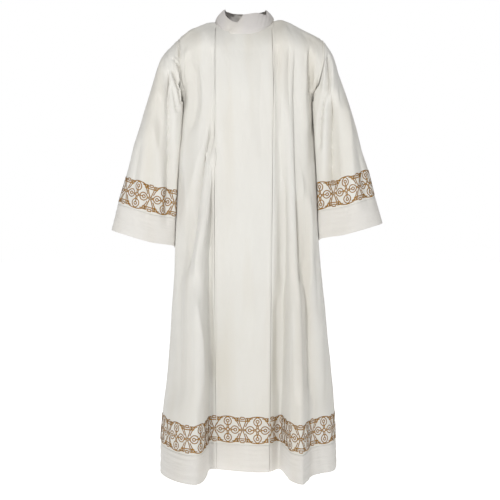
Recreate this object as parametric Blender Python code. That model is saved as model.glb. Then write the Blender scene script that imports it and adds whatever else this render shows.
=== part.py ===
"""Alb robe: a long white cloth garment, filled out, open at the neck, cuffs and hem.

Metres, Z up, the front towards -Y. The origin lies at the base of the neck, between the shoulders.
Each piece of cloth is a middle surface worked out from short tables, given a wall on both sides.
"""

import math

import bpy
import numpy as np

# Cloth and seams
WALL = 0.0016
SEAM_GAP = 0.0004
ARMHOLE_GAP = 0.0011
NECK_GAP = 0.0011
UNDERLAP_DEPTH = 0.0030

# Main heights
HEM_Z = -1.448
UNDERARM_Z = -0.250
SECTION_Z = (-0.12, -0.25, -0.60, -0.95, -1.448)

# Neckline, an oval that dips at the front
NECK_CENTRE_X = -0.002
NECK_HALF_WIDTH = 0.094
NECK_FRONT_DEPTH = 0.085
NECK_BACK_DEPTH = 0.072
NECK_SIDE_Z = 0.0005
NECK_SIDE_TILT = 0.0025
NECK_FRONT_DIP = 0.0535
NECK_BACK_RISE = 0.004
NECK_CORNER_LEFT = -82.0
NECK_CORNER_RIGHT = 80.0

# Shoulder tips and armholes
TIP_X = {"left": -0.214, "right": 0.248}
TIP_Z = {"left": -0.0605, "right": -0.064}
UNDERARM_X = {"left": -0.208, "right": 0.222}
ARMHOLE_BULGE = {"left": 0.010, "right": 0.011}
ARMHOLE_DEPTH = 0.072
CROTCH_REACH = 0.020
SEAM_ANGLE = 24.0
SEAM_FORWARD_NECK = 0.012
SEAM_DROP_NECK = 0.003
RING_START_ANGLE = 52.0
RING_FALL = 0.105

# Rows of each grid
FRONT_ARM_STEPS = 9
BACK_ARM_STEPS = 10
BELOW_STEPS = 13
BELOW_POWER = 1.35
BACK_STRIP_ROWS = 2

# Shoulder line: fraction of the way to the tip, height on the left, height on the right, in mm
SHOULDER_LINE = (
    (0.00, -4.8, 0.2),
    (0.13, -5.0, 2.6),
    (0.33, -13.0, -9.5),
    (0.54, -23.0, -25.5),
    (0.68, -31.0, -36.0),
    (0.82, -43.0, -46.5),
    (1.00, -60.5, -64.0),
)

# Side seams: height, distance from the middle on the left, on the right, in mm
SIDE_SEAMS = (
    (-250, 203.0, 215.0),
    (-362, 209.0, 225.0),
    (-418, 218.0, 230.0),
    (-600, 222.0, 233.5),
    (-710, 223.0, 237.0),
    (-800, 228.0, 246.0),
    (-950, 238.0, 261.0),
    (-1130, 251.5, 280.5),
    (-1280, 270.5, 294.0),
    (-1360, 276.5, 297.5),
    (-1448, 276.0, 298.5),
)

# Folds of the front and back, in mm, one row a fold line from shoulder or neckline to hem.
# Columns: name, neckline angle, shoulder fraction, x at chest, waist, knee and hem,
# depth at upper chest, chest, waist, knee and hem
FRONT_LEFT_FOLDS = (
    ("side_seam", None, 1.00, -203, -222, -238, -276, 72, 0, 0, 0, 0),
    ("side_turn", None, 0.81, -184, -213, -231, -266, 72, 58, 50, 62, 100),
    ("lobe_outer", None, 0.62, -163, -190, -205, -227, 84, 80, 84, 112, 172),
    ("lobe_corner", None, 0.46, -138, -160, -181, -178, 94, 104, 117, 150, 215),
    ("lobe_front", None, 0.32, -121, -138, -150, -148, 98, 109, 130, 166, 223),
    ("lobe_turn", None, 0.20, -110, -124, -131, -130, 101, 113, 129, 154, 192),
    ("lobe_wall", None, 0.10, -103.5, -114, -119, -119.5, 103, 116, 118, 114, 122),
    ("recess", -82, 0.00, -98, -106, -110, -111.5, 104, 118, 109, 89, 58),
    ("panel_edge", -73, None, -91, -93.6, -94, -90.5, 107, 122, 121, 95, 60),
    ("underlap", -61, None, -76, -79, -79, -76, 108, 124, 122, 98, 64),
)
PANEL_FOLDS = (
    ("edge_left", -73, None, -91, -93.6, -94, -90.5, 107, 122, 121, 95, 60),
    ("middle_left", -27, None, -45, -46, -46, -44, 110, 127, 124, 104, 73),
    ("centre", 0, None, -2, -4, -5, -6, 111, 128, 125, 109, 86),
    ("middle_right", 29, None, 43, 40, 38, 36, 111, 127, 124, 111, 93),
    ("edge_right", 66, None, 87.5, 84, 80.5, 77, 107, 122, 122, 112, 92),
)
FRONT_RIGHT_FOLDS = (
    ("underlap", 54, None, 72, 69, 66, 62, 108, 124, 122, 112, 93),
    ("panel_edge", 66, None, 87.5, 84, 80.5, 77, 107, 122, 122, 112, 92),
    ("recess", 80, 0.00, 97, 110, 116, 109, 104, 116, 106, 84, 56),
    ("lobe_wall", None, 0.12, 110, 126, 130, 129, 103, 114, 113, 114, 125),
    ("lobe_turn", None, 0.24, 126, 141, 143, 145, 101, 111, 123, 146, 190),
    ("lobe_front", None, 0.36, 144, 158, 168, 176, 98, 107, 126, 158, 221),
    ("lobe_corner", None, 0.47, 159, 173, 186, 194, 92, 98, 112, 138, 180),
    ("wall_foot", None, 0.56, 170, 186, 199, 209, 88, 93, 98, 108, 135),
    ("outer_ridge", None, 0.70, 186, 204, 216, 236, 82, 86, 88, 94, 108),
    ("side_turn", None, 0.86, 204, 224, 246, 283, 72, 56, 56, 62, 76),
    ("side_seam", None, 1.00, 215, 233.5, 261, 298.5, 72, 0, 0, 0, 0),
)
BACK_FOLDS = (
    ("side_seam", None, 1.00, -203, -222, -238, -276, 72, 0, 0, 0, 0),
    ("side_turn", None, 0.79, -184, -213, -231, -266, 72, 58, 46, 56, 82),
    ("outer_ridge", None, 0.55, -160, -178, -192, -217, 86, 92, 86, 102, 152),
    ("outer_trough", None, 0.25, -124, -132, -142, -160, 96, 101, 88, 86, 106),
    ("neck_corner", -82, 0.00, -99, -103, -109, -119, 100, 104, 96, 106, 140),
    ("left_ridge", -112, None, -80, -82, -86, -94, 101, 105, 102, 118, 170),
    ("left_trough", -150, None, -44, -44, -46, -50, 102, 106, 98, 100, 122),
    ("centre_ridge", -180, None, -4, -4, -2, 0, 102, 106, 101, 112, 150),
    ("right_trough", -212, None, 44, 44, 48, 54, 102, 106, 98, 98, 116),
    ("right_ridge", -248, None, 82, 84, 92, 102, 101, 105, 102, 118, 172),
    ("neck_corner", -280, 0.00, 99, 106, 114, 126, 100, 104, 95, 102, 134),
    ("outer_trough", None, 0.25, 128, 140, 152, 172, 96, 100, 86, 84, 104),
    ("outer_ridge", None, 0.55, 168, 188, 205, 236, 86, 90, 86, 100, 150),
    ("side_turn", None, 0.82, 206, 225, 247, 284, 70, 50, 46, 56, 80),
    ("side_seam", None, 1.00, 215, 233.5, 261, 298.5, 72, 0, 0, 0, 0),
)
COLUMNS_PER_SPAN = 2
PANEL_COLUMNS_PER_SPAN = 3

# Sleeve rings below the armhole, in mm. Columns: outer x and z, inner x and z, front and back depth
SLEEVE_RINGS = {
    "left": (
        (-234, -84, -212.5, -258.5, 74, 74),
        (-256, -108, -217, -270, 77, 76),
        (-278, -155, -221.5, -288, 80, 78),
        (-295, -207, -226, -312, 82, 79),
        (-315, -272, -229.5, -350, 82, 79),
        (-339, -350, -232, -400, 80, 77),
        (-361, -418, -233, -465, 77, 74),
        (-381, -497, -233.5, -540, 73, 70),
        (-407.5, -583, -234, -630, 68, 66),
        (-432.5, -677, -233.5, -734, 62, 61),
    ),
    "right": (
        (262, -85, 226.5, -258.5, 74, 74),
        (281, -118, 231, -270, 77, 76),
        (300, -178, 235.5, -288, 80, 78),
        (315.5, -222, 239.5, -312, 82, 79),
        (335.5, -282, 242.5, -348, 82, 79),
        (358.5, -354.5, 244.5, -398, 80, 77),
        (374.5, -417.5, 245.5, -458, 77, 74),
        (396, -484, 245.5, -524, 73, 70),
        (418, -563, 245.5, -604, 68, 66),
        (445.5, -655, 245, -711, 62, 61),
    ),
}
SLEEVE_POWER = 2.15
ARMHOLE_FADE_RINGS = 6

# Sleeve folds. Columns: first ring, last ring, angle at the first, angle at the last,
# half width in degrees, height in mm (minus for a trough). Angle 0 is outside, 90 in front
SLEEVE_FOLDS = {
    "left": (
        (1.5, 9.0, 66, 140, 26, -8.0),
        (3.0, 10.0, 40, 96, 24, 4.0),
        (3.0, 10.0, 250, 236, 26, -7.0),
        (2.0, 9.0, 300, 285, 24, 4.0),
    ),
    "right": (
        (3.5, 9.5, 80, 124, 26, -8.0),
        (2.5, 10.0, 46, 84, 24, 4.0),
        (3.0, 10.0, 246, 232, 26, -7.0),
        (2.0, 9.0, 304, 290, 24, 4.0),
    ),
}

# Collar rim, in mm: angle round the neck as the band is wound, height of the rim
COLLAR_RIM = (
    (12, -22.0),
    (-24, -13.6),
    (-47, 2.3),
    (-60, 13.7),
    (-90, 38.0),
    (-130, 37.0),
    (-180, 35.0),
    (-230, 37.0),
    (-270, 37.0),
    (-280, 30.0),
    (-297, 13.0),
    (-318, 18.0),
    (-342, 14.0),
    (-363, 11.7),
)
COLLAR_START = 12.0
COLLAR_END_BASE = -390.0
COLLAR_END_RIM = -363.0
COLLAR_COLUMNS = 48
COLLAR_ROWS = 4
COLLAR_LEAN_SIDE = 0.028
COLLAR_LEAN_BACK = 0.015
COLLAR_LEAN_POWER = 1.7
COLLAR_REACH_SIDE = 0.043
COLLAR_REACH_FRONT = 0.068
COLLAR_WINDING = 0.0012

MATERIALS = {
    "body_cloth": (0.84, 0.83, 0.80, 1.0),
    "sleeve_cloth": (0.83, 0.82, 0.79, 1.0),
    "collar_cloth": (0.80, 0.78, 0.75, 1.0),
}


def clear_scene():
    """Remove what the startup file holds."""
    for obj in list(bpy.data.objects):
        bpy.data.objects.remove(obj, do_unlink=True)


def smooth_slopes(knots, values):
    """Slopes of a cubic through the values that doesn't overshoot them."""
    step = np.diff(knots).reshape(-1, *[1] * (values.ndim - 1))
    rise = np.diff(values, axis=0) / step
    slopes = np.zeros_like(values)
    slopes[0] = rise[0]
    slopes[-1] = rise[-1]
    before = rise[:-1]
    after = rise[1:]
    turning = before * after <= 0
    total = np.where(turning, 1.0, before + after)
    slopes[1:-1] = np.where(turning, 0.0, 2 * before * after / total)
    return slopes


def smooth(knots, values, at):
    """Smooth curve through values at the knots, read at each number in at."""
    knots = np.asarray(knots, float)
    values = np.asarray(values, float)
    if knots[0] > knots[-1]:
        knots = knots[::-1]
        values = values[::-1]
    slopes = smooth_slopes(knots, values)
    at = np.clip(np.asarray(at, float), knots[0], knots[-1])
    span = np.clip(np.searchsorted(knots, at, side="right") - 1, 0, len(knots) - 2)
    width = knots[span + 1] - knots[span]
    t = (at - knots[span]) / width
    extra = (1,) * (values.ndim - 1)
    t = np.reshape(t, np.shape(t) + extra)
    width = np.reshape(width, np.shape(width) + extra)
    start = (1 + 2 * t) * (1 - t) ** 2 * values[span] + t * (1 - t) ** 2 * width * slopes[span]
    end = t * t * (3 - 2 * t) * values[span + 1] - t * t * (1 - t) * width * slopes[span + 1]
    return start + end


def unit(vectors):
    """Vectors of length one."""
    length = np.linalg.norm(vectors, axis=-1, keepdims=True)
    return vectors / np.maximum(length, 1e-12)


def ring_point(angle):
    """Point on the neckline. Angle 0 is the front, 90 the right side."""
    turn = math.radians(angle)
    across = math.sin(turn)
    forward = math.cos(turn)
    x = NECK_CENTRE_X + NECK_HALF_WIDTH * across
    z = NECK_SIDE_Z + NECK_SIDE_TILT * across
    if forward > 0:
        y = -NECK_FRONT_DEPTH * forward
        z -= NECK_FRONT_DIP * forward**1.2
    else:
        y = -NECK_BACK_DEPTH * forward
        z -= NECK_BACK_RISE * forward
    return np.array((x, y, z))


def ring_normal(angle):
    """Outward direction shared by the collar and the cloth that it is sewn to."""
    turn = math.radians(angle)
    lift = math.radians(14 + 26 * math.sin(turn) ** 2)
    flat = np.array((math.sin(turn), -math.cos(turn), 0.0))
    return flat * math.cos(lift) + np.array((0.0, 0.0, 1.0)) * math.sin(lift)


def corner_angle(side):
    """Neckline angle at which the shoulder seam of this side starts."""
    return NECK_CORNER_LEFT if side == "left" else NECK_CORNER_RIGHT


def ridge_height(side, fraction):
    """Height of the shoulder line at a fraction of the way to the tip."""
    column = 1 if side == "left" else 2
    table = np.array(SHOULDER_LINE)
    return float(smooth(table[:, 0], table[:, column], fraction)) * 0.001


def armhole_half_height(side):
    """Half the height of the armhole."""
    return (TIP_Z[side] - UNDERARM_Z) / 2


def seam_forward(fraction):
    """How far in front of the shoulder line the shoulder seam lies."""
    tip = ARMHOLE_DEPTH * math.sin(math.radians(SEAM_ANGLE))
    return SEAM_FORWARD_NECK + (tip - SEAM_FORWARD_NECK) * fraction**0.8


def seam_drop(side, fraction):
    """How far below the shoulder line the shoulder seam lies."""
    tip = armhole_half_height(side) * (1 - math.cos(math.radians(SEAM_ANGLE)))
    return SEAM_DROP_NECK + (tip - SEAM_DROP_NECK) * fraction


def shoulder_point(side, fraction):
    """Point on the shoulder seam."""
    corner = ring_point(corner_angle(side))
    x = corner[0] + (TIP_X[side] - corner[0]) * fraction
    y = -seam_forward(fraction)
    z = ridge_height(side, fraction) - seam_drop(side, fraction)
    start_z = ridge_height(side, 0.0) - seam_drop(side, 0.0)
    nearness = max(0.0, 1 - fraction / 0.15)
    z += (corner[2] - start_z) * nearness
    return np.array((x, y, z))


def side_seam_x(side, z):
    """Distance of the side seam from the middle, signed, for each height."""
    table = np.array(SIDE_SEAMS, float) * 0.001
    column = 1 if side == "left" else 2
    sign = -1 if side == "left" else 1
    return sign * smooth(table[:, 0], table[:, column], z)


def armhole_x(side, z):
    """Distance of the armhole edge from the middle, for heights above the underarm."""
    part = np.clip((TIP_Z[side] - z) / (TIP_Z[side] - UNDERARM_Z), 0, 1)
    straight = TIP_X[side] + (UNDERARM_X[side] - TIP_X[side]) * part
    return straight + ARMHOLE_BULGE[side] * np.sin(math.pi * part**0.8)


def edge_x(side, z):
    """Edge of the body from shoulder tip to hem."""
    below = side_seam_x(side, z)
    reach = UNDERARM_X[side] - side_seam_x(side, UNDERARM_Z)
    below = below + reach * np.exp(-(((z - UNDERARM_Z) / CROTCH_REACH) ** 2))
    return np.where(z > UNDERARM_Z, armhole_x(side, z), below)


def edge_depth(side, z):
    """Depth of the armhole edge: full at its middle, nothing from the underarm down."""
    half = armhole_half_height(side)
    fall = np.clip((UNDERARM_Z + half - z) / half, 0, 1)
    return ARMHOLE_DEPTH * np.sqrt(1 - fall**2)


def row_fractions(is_front, weight):
    """Fractions of the way to the hem at which rows lie. Weight 0 is the left edge, 1 the right."""
    both = []
    for side in ("left", "right"):
        half = armhole_half_height(side)
        if is_front:
            start = math.cos(math.radians(SEAM_ANGLE))
            angles = np.linspace(SEAM_ANGLE, 180, FRONT_ARM_STEPS + 1)
        else:
            start = 1.0
            angles = np.linspace(0, 180, BACK_ARM_STEPS + 1)
        top = UNDERARM_Z + half + half * start
        upper = (start - np.cos(np.radians(angles))) * half / (top - HEM_Z)
        steps = (np.arange(1, BELOW_STEPS + 1) / BELOW_STEPS) ** BELOW_POWER
        lower = upper[-1] + (1 - upper[-1]) * steps
        both.append(np.concatenate([upper, lower]))
    return both[0] * (1 - weight) + both[1] * weight


def column_tops(folds, spans, is_front):
    """For each column: its place among the folds, top point, start angle and fall of its rounding."""
    columns = []
    for number in range(spans * (len(folds) - 1) + 1):
        place = number / spans
        index = min(int(place), len(folds) - 2)
        part = place - index
        first = folds[index]
        second = folds[index + 1]
        on_shoulder = first[2] is not None and second[2] is not None
        if on_shoulder:
            side = "left" if first[3] + second[3] < 0 else "right"
            fraction = first[2] + (second[2] - first[2]) * part
            top = shoulder_point(side, fraction)
            blend = min(1.0, fraction / 0.25)
            start = SEAM_ANGLE if is_front else 0.0
            angle = RING_START_ANGLE + (start - RING_START_ANGLE) * blend
            full = armhole_half_height(side) * math.cos(math.radians(start))
            fall = RING_FALL + (full - RING_FALL) * blend
        else:
            side = None
            fraction = None
            bend = first[1] + (second[1] - first[1]) * part
            top = ring_point(bend)
            angle = RING_START_ANGLE
            fall = RING_FALL
        columns.append((index, part, side, fraction, top, angle, fall))
    return columns


def fold_readings(folds, z):
    """x and depth of every fold line at each height, with a ghost line beyond each end."""
    heights = np.array(SECTION_Z)
    x_rows = []
    depth_rows = []
    for fold in folds:
        table_x = np.array(fold[3:7], float) * 0.001
        table_depth = np.array(fold[7:12], float) * 0.001
        x = smooth(heights[1:], table_x, z)
        depth = smooth(heights, table_depth, z)
        if fold[0] == "side_seam":
            side = "left" if fold[3] < 0 else "right"
            x = edge_x(side, z)
            depth = edge_depth(side, z)
        x_rows.append(x)
        depth_rows.append(depth)
    for end, inward in ((0, 1), (-1, -2)):
        openness = depth_rows[end] / ARMHOLE_DEPTH
        if folds[end][0] != "side_seam":
            openness = 1.0
        x_line = 2 * x_rows[end] - x_rows[inward]
        depth_line = 2 * depth_rows[end] - depth_rows[inward]
        ghost_x = x_rows[inward] * (1 - openness) + x_line * openness
        ghost_depth = -depth_rows[inward] * (1 - openness) + depth_line * openness
        place = 0 if end == 0 else len(x_rows)
        x_rows.insert(place, ghost_x)
        depth_rows.insert(place, ghost_depth)
    return np.array(x_rows), np.array(depth_rows)


def fold_knots(folds):
    """Spacing of the fold lines along the hem, ghost lines included."""
    hem = np.array([(fold[6], fold[11]) for fold in folds], float)
    steps = np.sqrt(np.linalg.norm(np.diff(hem, axis=0), axis=1))
    steps = np.concatenate([steps[:1], steps, steps[-1:]])
    return np.concatenate([[0.0], np.cumsum(steps)])


def across(values, knots, index, part):
    """Smooth curve across the fold lines, in the span after line index."""
    i = index + 1
    before, here, after = np.diff(knots[i - 1 : i + 3])
    rise = [(values[k + 1] - values[k]) / (knots[k + 1] - knots[k]) for k in (i - 1, i, i + 1)]
    slope_start = (rise[0] * here + rise[1] * before) / (before + here)
    slope_end = (rise[1] * after + rise[2] * here) / (here + after)
    t = part
    start = (1 + 2 * t) * (1 - t) ** 2 * values[i] + t * (1 - t) ** 2 * here * slope_start
    end = t * t * (3 - 2 * t) * values[i + 1] - t * t * (1 - t) * here * slope_end
    return start + end


def side_weight(x_hem):
    """0 at the left side of the hem, 1 at the right."""
    left = side_seam_x("left", HEM_Z)
    right = side_seam_x("right", HEM_Z)
    return float(np.clip((x_hem - left) / (right - left), 0, 1))


def body_sheet(folds, is_front, spans=COLUMNS_PER_SPAN):
    """Middle surface of one sheet of the body, as points[row, column]."""
    knots = fold_knots(folds)
    sign = -1 if is_front else 1
    result = []
    for index, part, side, fraction, top, start_angle, fall in column_tops(folds, spans, is_front):
        x_hem = (folds[index][6] + (folds[index + 1][6] - folds[index][6]) * part) * 0.001
        fractions = row_fractions(is_front, side_weight(x_hem))
        on_shoulder = side is not None
        origin = top.copy()
        if on_shoulder and not is_front:
            origin[1] = 0.0
            origin[2] = ridge_height(side, fraction)
        shift = 0.0
        if not on_shoulder and not is_front:
            shift = 0.004 * BACK_STRIP_ROWS
        z = origin[2] - shift + (HEM_Z - origin[2] + shift) * fractions
        if not is_front:
            strip = np.arange(BACK_STRIP_ROWS) / BACK_STRIP_ROWS
            z = np.concatenate([origin[2] - shift * strip, z])
        x_lines, depth_lines = fold_readings(folds, z)
        x_line = across(x_lines, knots, index, part)
        depth = across(depth_lines, knots, index, part)
        hanging = np.clip((origin[2] - z) / (origin[2] - SECTION_Z[1]), 0, 1)
        fade = 1 - hanging * hanging * (3 - 2 * hanging)
        x = x_line + (origin[0] - x_line[0]) * fade
        half_turn = math.cos(math.radians(start_angle))
        cosine = half_turn - (origin[2] - z) / (fall / half_turn)
        turn = np.sin(np.arccos(np.clip(cosine, 0, 1)))
        turn = np.where(cosine <= 0, 1.0, turn)
        begin = math.sin(math.radians(start_angle))
        growth = np.clip((turn - begin) / (1 - begin), 0, 1)
        top_depth = sign * origin[1]
        y = sign * (top_depth + (depth - top_depth) * growth)
        if on_shoulder and not is_front:
            turned = np.arange(BACK_STRIP_ROWS, 0, -1) / BACK_STRIP_ROWS
            outward = -1 if side == "left" else 1
            near_neck = max(0.0, 1 - fraction / 0.25)
            x[:BACK_STRIP_ROWS] = top[0] + outward * 0.002 * near_neck * (1 - turned)
            y[:BACK_STRIP_ROWS] = top[1] * turned
            z[:BACK_STRIP_ROWS] = origin[2] + (top[2] - origin[2]) * turned**1.9
        if on_shoulder and fraction == 1.0:
            x = edge_x(side, z)
        result.append(np.stack([x, y, z], axis=-1))
    return np.stack(result, axis=1)


def grid_normals(points, closed=False, flip=False):
    """Direction square to the sheet at each point."""
    if closed:
        along = np.roll(points, -1, axis=1) - np.roll(points, 1, axis=1)
    else:
        along = np.gradient(points, axis=1)
    down = np.gradient(points, axis=0)
    normals = unit(np.cross(along, down))
    return -normals if flip else normals


def pull_back(points, edge, distance):
    """Move one edge of a grid inwards along the sheet."""
    if edge == "top":
        points[0] += unit(points[1] - points[0]) * distance
    elif edge == "first":
        points[:, 0] += unit(points[:, 1] - points[:, 0]) * distance
    elif edge == "last":
        points[:, -1] += unit(points[:, -2] - points[:, -1]) * distance


def grid_triangles(points, closed):
    """Triangles of a grid, each square cut along its shorter diagonal."""
    rows, columns = points.shape[:2]
    number = np.arange(rows * columns).reshape(rows, columns)
    last = columns if closed else columns - 1
    flat = points.reshape(-1, 3)
    triangles = []
    for r in range(rows - 1):
        for c in range(last):
            n = (c + 1) % columns
            a, b = number[r, c], number[r, n]
            d, e = number[r + 1, c], number[r + 1, n]
            if np.linalg.norm(flat[a] - flat[e]) <= np.linalg.norm(flat[b] - flat[d]):
                triangles += [(a, b, e), (a, e, d)]
            else:
                triangles += [(a, b, d), (b, e, d)]
    return triangles


def rim_loops(rows, columns, closed):
    """Point numbers round each free rim of a grid, in order."""
    number = np.arange(rows * columns).reshape(rows, columns)
    if closed:
        return [list(number[0]), list(number[-1])[::-1]]
    rim = list(number[0, :-1]) + list(number[:-1, -1])
    rim += list(number[-1, :0:-1]) + list(number[:0:-1, 0])
    return [rim]


def walled_mesh(points, normals, closed=False):
    """Points and triangles of a grid given a wall, half of it on each side."""
    rows, columns = points.shape[:2]
    outer = (points + normals * WALL / 2).reshape(-1, 3)
    inner = (points - normals * WALL / 2).reshape(-1, 3)
    count = rows * columns
    triangles = []
    for a, b, c in grid_triangles(points, closed):
        triangles.append((a, b, c))
        triangles.append((a + count, c + count, b + count))
    for rim in rim_loops(rows, columns, closed):
        for a, b in zip(rim, rim[1:] + rim[:1]):
            triangles.append((b, a, a + count))
            triangles.append((b, a + count, b + count))
    return np.concatenate([outer, inner]), triangles


def add_piece(collection, name, points, normals, material, closed=False):
    """Make one named solid from a grid and its normals."""
    corners, triangles = walled_mesh(points, normals, closed)
    edges = corners[np.array(triangles)]
    volume = np.einsum("ij,ij->i", edges[:, 0], np.cross(edges[:, 1], edges[:, 2])).sum()
    if volume < 0:
        triangles = [(a, c, b) for a, b, c in triangles]
    mesh = bpy.data.meshes.new(name)
    mesh.from_pydata([tuple(p) for p in corners], [], [tuple(map(int, t)) for t in triangles])
    mesh.update()
    obj = bpy.data.objects.new(name, mesh)
    obj.data.materials.append(material)
    collection.objects.link(obj)
    return obj


def superellipse(cosine, sine):
    """Point on an oval that is a little squarer than an ellipse."""
    power = 2 / SLEEVE_POWER
    return (
        np.sign(cosine) * np.abs(cosine) ** power,
        np.sign(sine) * np.abs(sine) ** power,
    )


def sleeve_fold_height(side, ring, angles):
    """How far the folds push the sleeve out at one ring, for each angle."""
    height = np.zeros_like(angles)
    for first, last, start, end, half_width, size in SLEEVE_FOLDS[side]:
        along = (ring - first) / (last - first)
        if not 0 < along < 1.3:
            continue
        centre = start + (end - start) * min(along, 1.0)
        away = (angles - centre + 180) % 360 - 180
        swell = math.sin(math.pi * min(along, 0.75) / 1.5)
        height += size * 0.001 * swell * np.exp(-((away / half_width) ** 2) * 2)
    return height


def sleeve_angles():
    """Angle of each sleeve column, from the shoulder line round by the front."""
    strip = np.arange(BACK_STRIP_ROWS) * SEAM_ANGLE / BACK_STRIP_ROWS
    front = np.linspace(SEAM_ANGLE, 180, FRONT_ARM_STEPS + 1)
    back = np.linspace(180, 360, BACK_ARM_STEPS + 1)[1:-1]
    return np.concatenate([strip, front, back])


def armhole_loop(front, back, front_column, back_column):
    """The armhole edge of front and back as one loop of points, in sleeve order."""
    underarm = BACK_STRIP_ROWS + BACK_ARM_STEPS
    strip = back[BACK_STRIP_ROWS:0:-1, back_column]
    front_part = front[: FRONT_ARM_STEPS + 1, front_column]
    back_part = back[underarm - 1 : BACK_STRIP_ROWS : -1, back_column]
    return np.concatenate([strip, front_part, back_part])


def share_armhole_normals(front, back, sleeve, front_column, back_column):
    """Give the three pieces that meet at an armhole the same directions there."""
    mean = unit(armhole_loop(front, back, front_column, back_column) + sleeve[0])
    sleeve[0] = mean
    underarm = BACK_STRIP_ROWS + BACK_ARM_STEPS
    strip = BACK_STRIP_ROWS
    front_end = strip + FRONT_ARM_STEPS
    back[strip:0:-1, back_column] = mean[:strip]
    front[: FRONT_ARM_STEPS + 1, front_column] = mean[strip : front_end + 1]
    back[underarm - 1 : strip : -1, back_column] = mean[front_end + 1 :]
    back[0, back_column] = mean[strip]
    back[underarm, back_column] = mean[front_end]


def armhole_bow(side, loop):
    """How far the armhole lies to one side of a straight line from tip to underarm."""
    part = np.clip((TIP_Z[side] - loop[:, 2]) / (TIP_Z[side] - UNDERARM_Z), 0, 1)
    return loop[:, 0] - (TIP_X[side] + (UNDERARM_X[side] - TIP_X[side]) * part)


def sleeve_grid(side, loop):
    """Middle surface of a sleeve: the armhole loop, then oval rings down to the cuff."""
    angles = sleeve_angles()
    cosine, sine = superellipse(np.cos(np.radians(angles)), np.sin(np.radians(angles)))
    rings = [loop]
    for number, row in enumerate(np.array(SLEEVE_RINGS[side], float) * 0.001):
        outer = np.array((row[0], 0.0, row[1]))
        inner = np.array((row[2], 0.0, row[3]))
        centre = (outer + inner) / 2
        arm = (outer - inner) / 2
        depth = np.where(sine > 0, row[4], row[5])
        push = sleeve_fold_height(side, number + 1, angles)
        half = np.linalg.norm(arm)
        reach = 1 + push / half
        ring = centre + np.outer(cosine * reach, arm)
        ring[:, 1] = -(depth + push) * sine
        fade = max(0.0, 1 - (number + 1) / ARMHOLE_FADE_RINGS) ** 2
        ring[:, 0] += armhole_bow(side, loop) * fade
        rings.append(ring)
    return np.stack(rings)


def collar_grid():
    """Middle surface of the collar band, wound a little over once round the neck."""
    table = np.array(COLLAR_RIM, float)
    rows = []
    for row in range(COLLAR_ROWS + 1):
        level = row / COLLAR_ROWS
        end = COLLAR_END_BASE + (COLLAR_END_RIM - COLLAR_END_BASE) * level
        line = []
        for column in range(COLLAR_COLUMNS + 1):
            wound = column / COLLAR_COLUMNS
            angle = COLLAR_START + (end - COLLAR_START) * wound
            base = ring_point(angle)
            rim = float(smooth(table[:, 0], table[:, 1], max(angle, COLLAR_END_RIM))) * 0.001
            height = (rim - base[2]) * level
            turn = math.radians(angle)
            facing = math.cos(turn)
            forward = max(facing, 0.0)
            backward = max(-facing, 0.0)
            reach = COLLAR_REACH_SIDE + (COLLAR_REACH_FRONT - COLLAR_REACH_SIDE) * forward
            lean = COLLAR_LEAN_SIDE + (COLLAR_LEAN_BACK - COLLAR_LEAN_SIDE) * backward**2
            inward = lean * (height / reach) ** COLLAR_LEAN_POWER
            inward -= COLLAR_WINDING * (2 * wound - 1)
            flat = np.array((math.sin(turn), -math.cos(turn), 0.0))
            outward = ring_normal(angle)
            above = np.array((0.0, 0.0, 1.0)) - outward * outward[2]
            gap = unit(above) * NECK_GAP
            line.append(base - flat * inward + gap + np.array((0.0, 0.0, height)))
        rows.append(line)
    return np.array(rows)


def share_ring_normals(normals, folds, spans, is_front):
    """Give the neckline edge of a sheet the collar's directions."""
    for column, top in enumerate(column_tops(folds, spans, is_front)):
        index, part, side, fraction = top[:4]
        if side is not None and fraction > 0:
            continue
        first = folds[index][1]
        second = folds[index + 1][1]
        angle = corner_angle(side) if side is not None else first + (second - first) * part
        normals[0, column] = ring_normal(angle)


def share_side_seam_normals(front, back, front_column, back_column):
    """Give front and back the same directions down their side seam."""
    front_start = FRONT_ARM_STEPS + 1
    back_start = BACK_STRIP_ROWS + BACK_ARM_STEPS + 1
    mean = unit(front[front_start:, front_column] + back[back_start:, back_column])
    front[front_start:, front_column] = mean
    back[back_start:, back_column] = mean


def share_collar_normals(normals):
    """Give the foot of the collar the neckline's directions."""
    for column in range(COLLAR_COLUMNS + 1):
        wound = column / COLLAR_COLUMNS
        angle = COLLAR_START + (COLLAR_END_BASE - COLLAR_START) * wound
        normals[0, column] = ring_normal(angle)


def tuck_under(side_points, side_columns, panel_points, panel_normals, panel_columns):
    """Lay the inner edge of a side front under the centre panel."""
    for side_column, panel_column in zip(side_columns, panel_columns):
        inward = panel_normals[:, panel_column] * UNDERLAP_DEPTH
        side_points[:, side_column] = panel_points[:, panel_column] - inward
    beside = side_columns[0] + (side_columns[0] - side_columns[1])
    side_points[:, beside] -= panel_normals[:, panel_columns[0]] * UNDERLAP_DEPTH * 0.45


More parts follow.
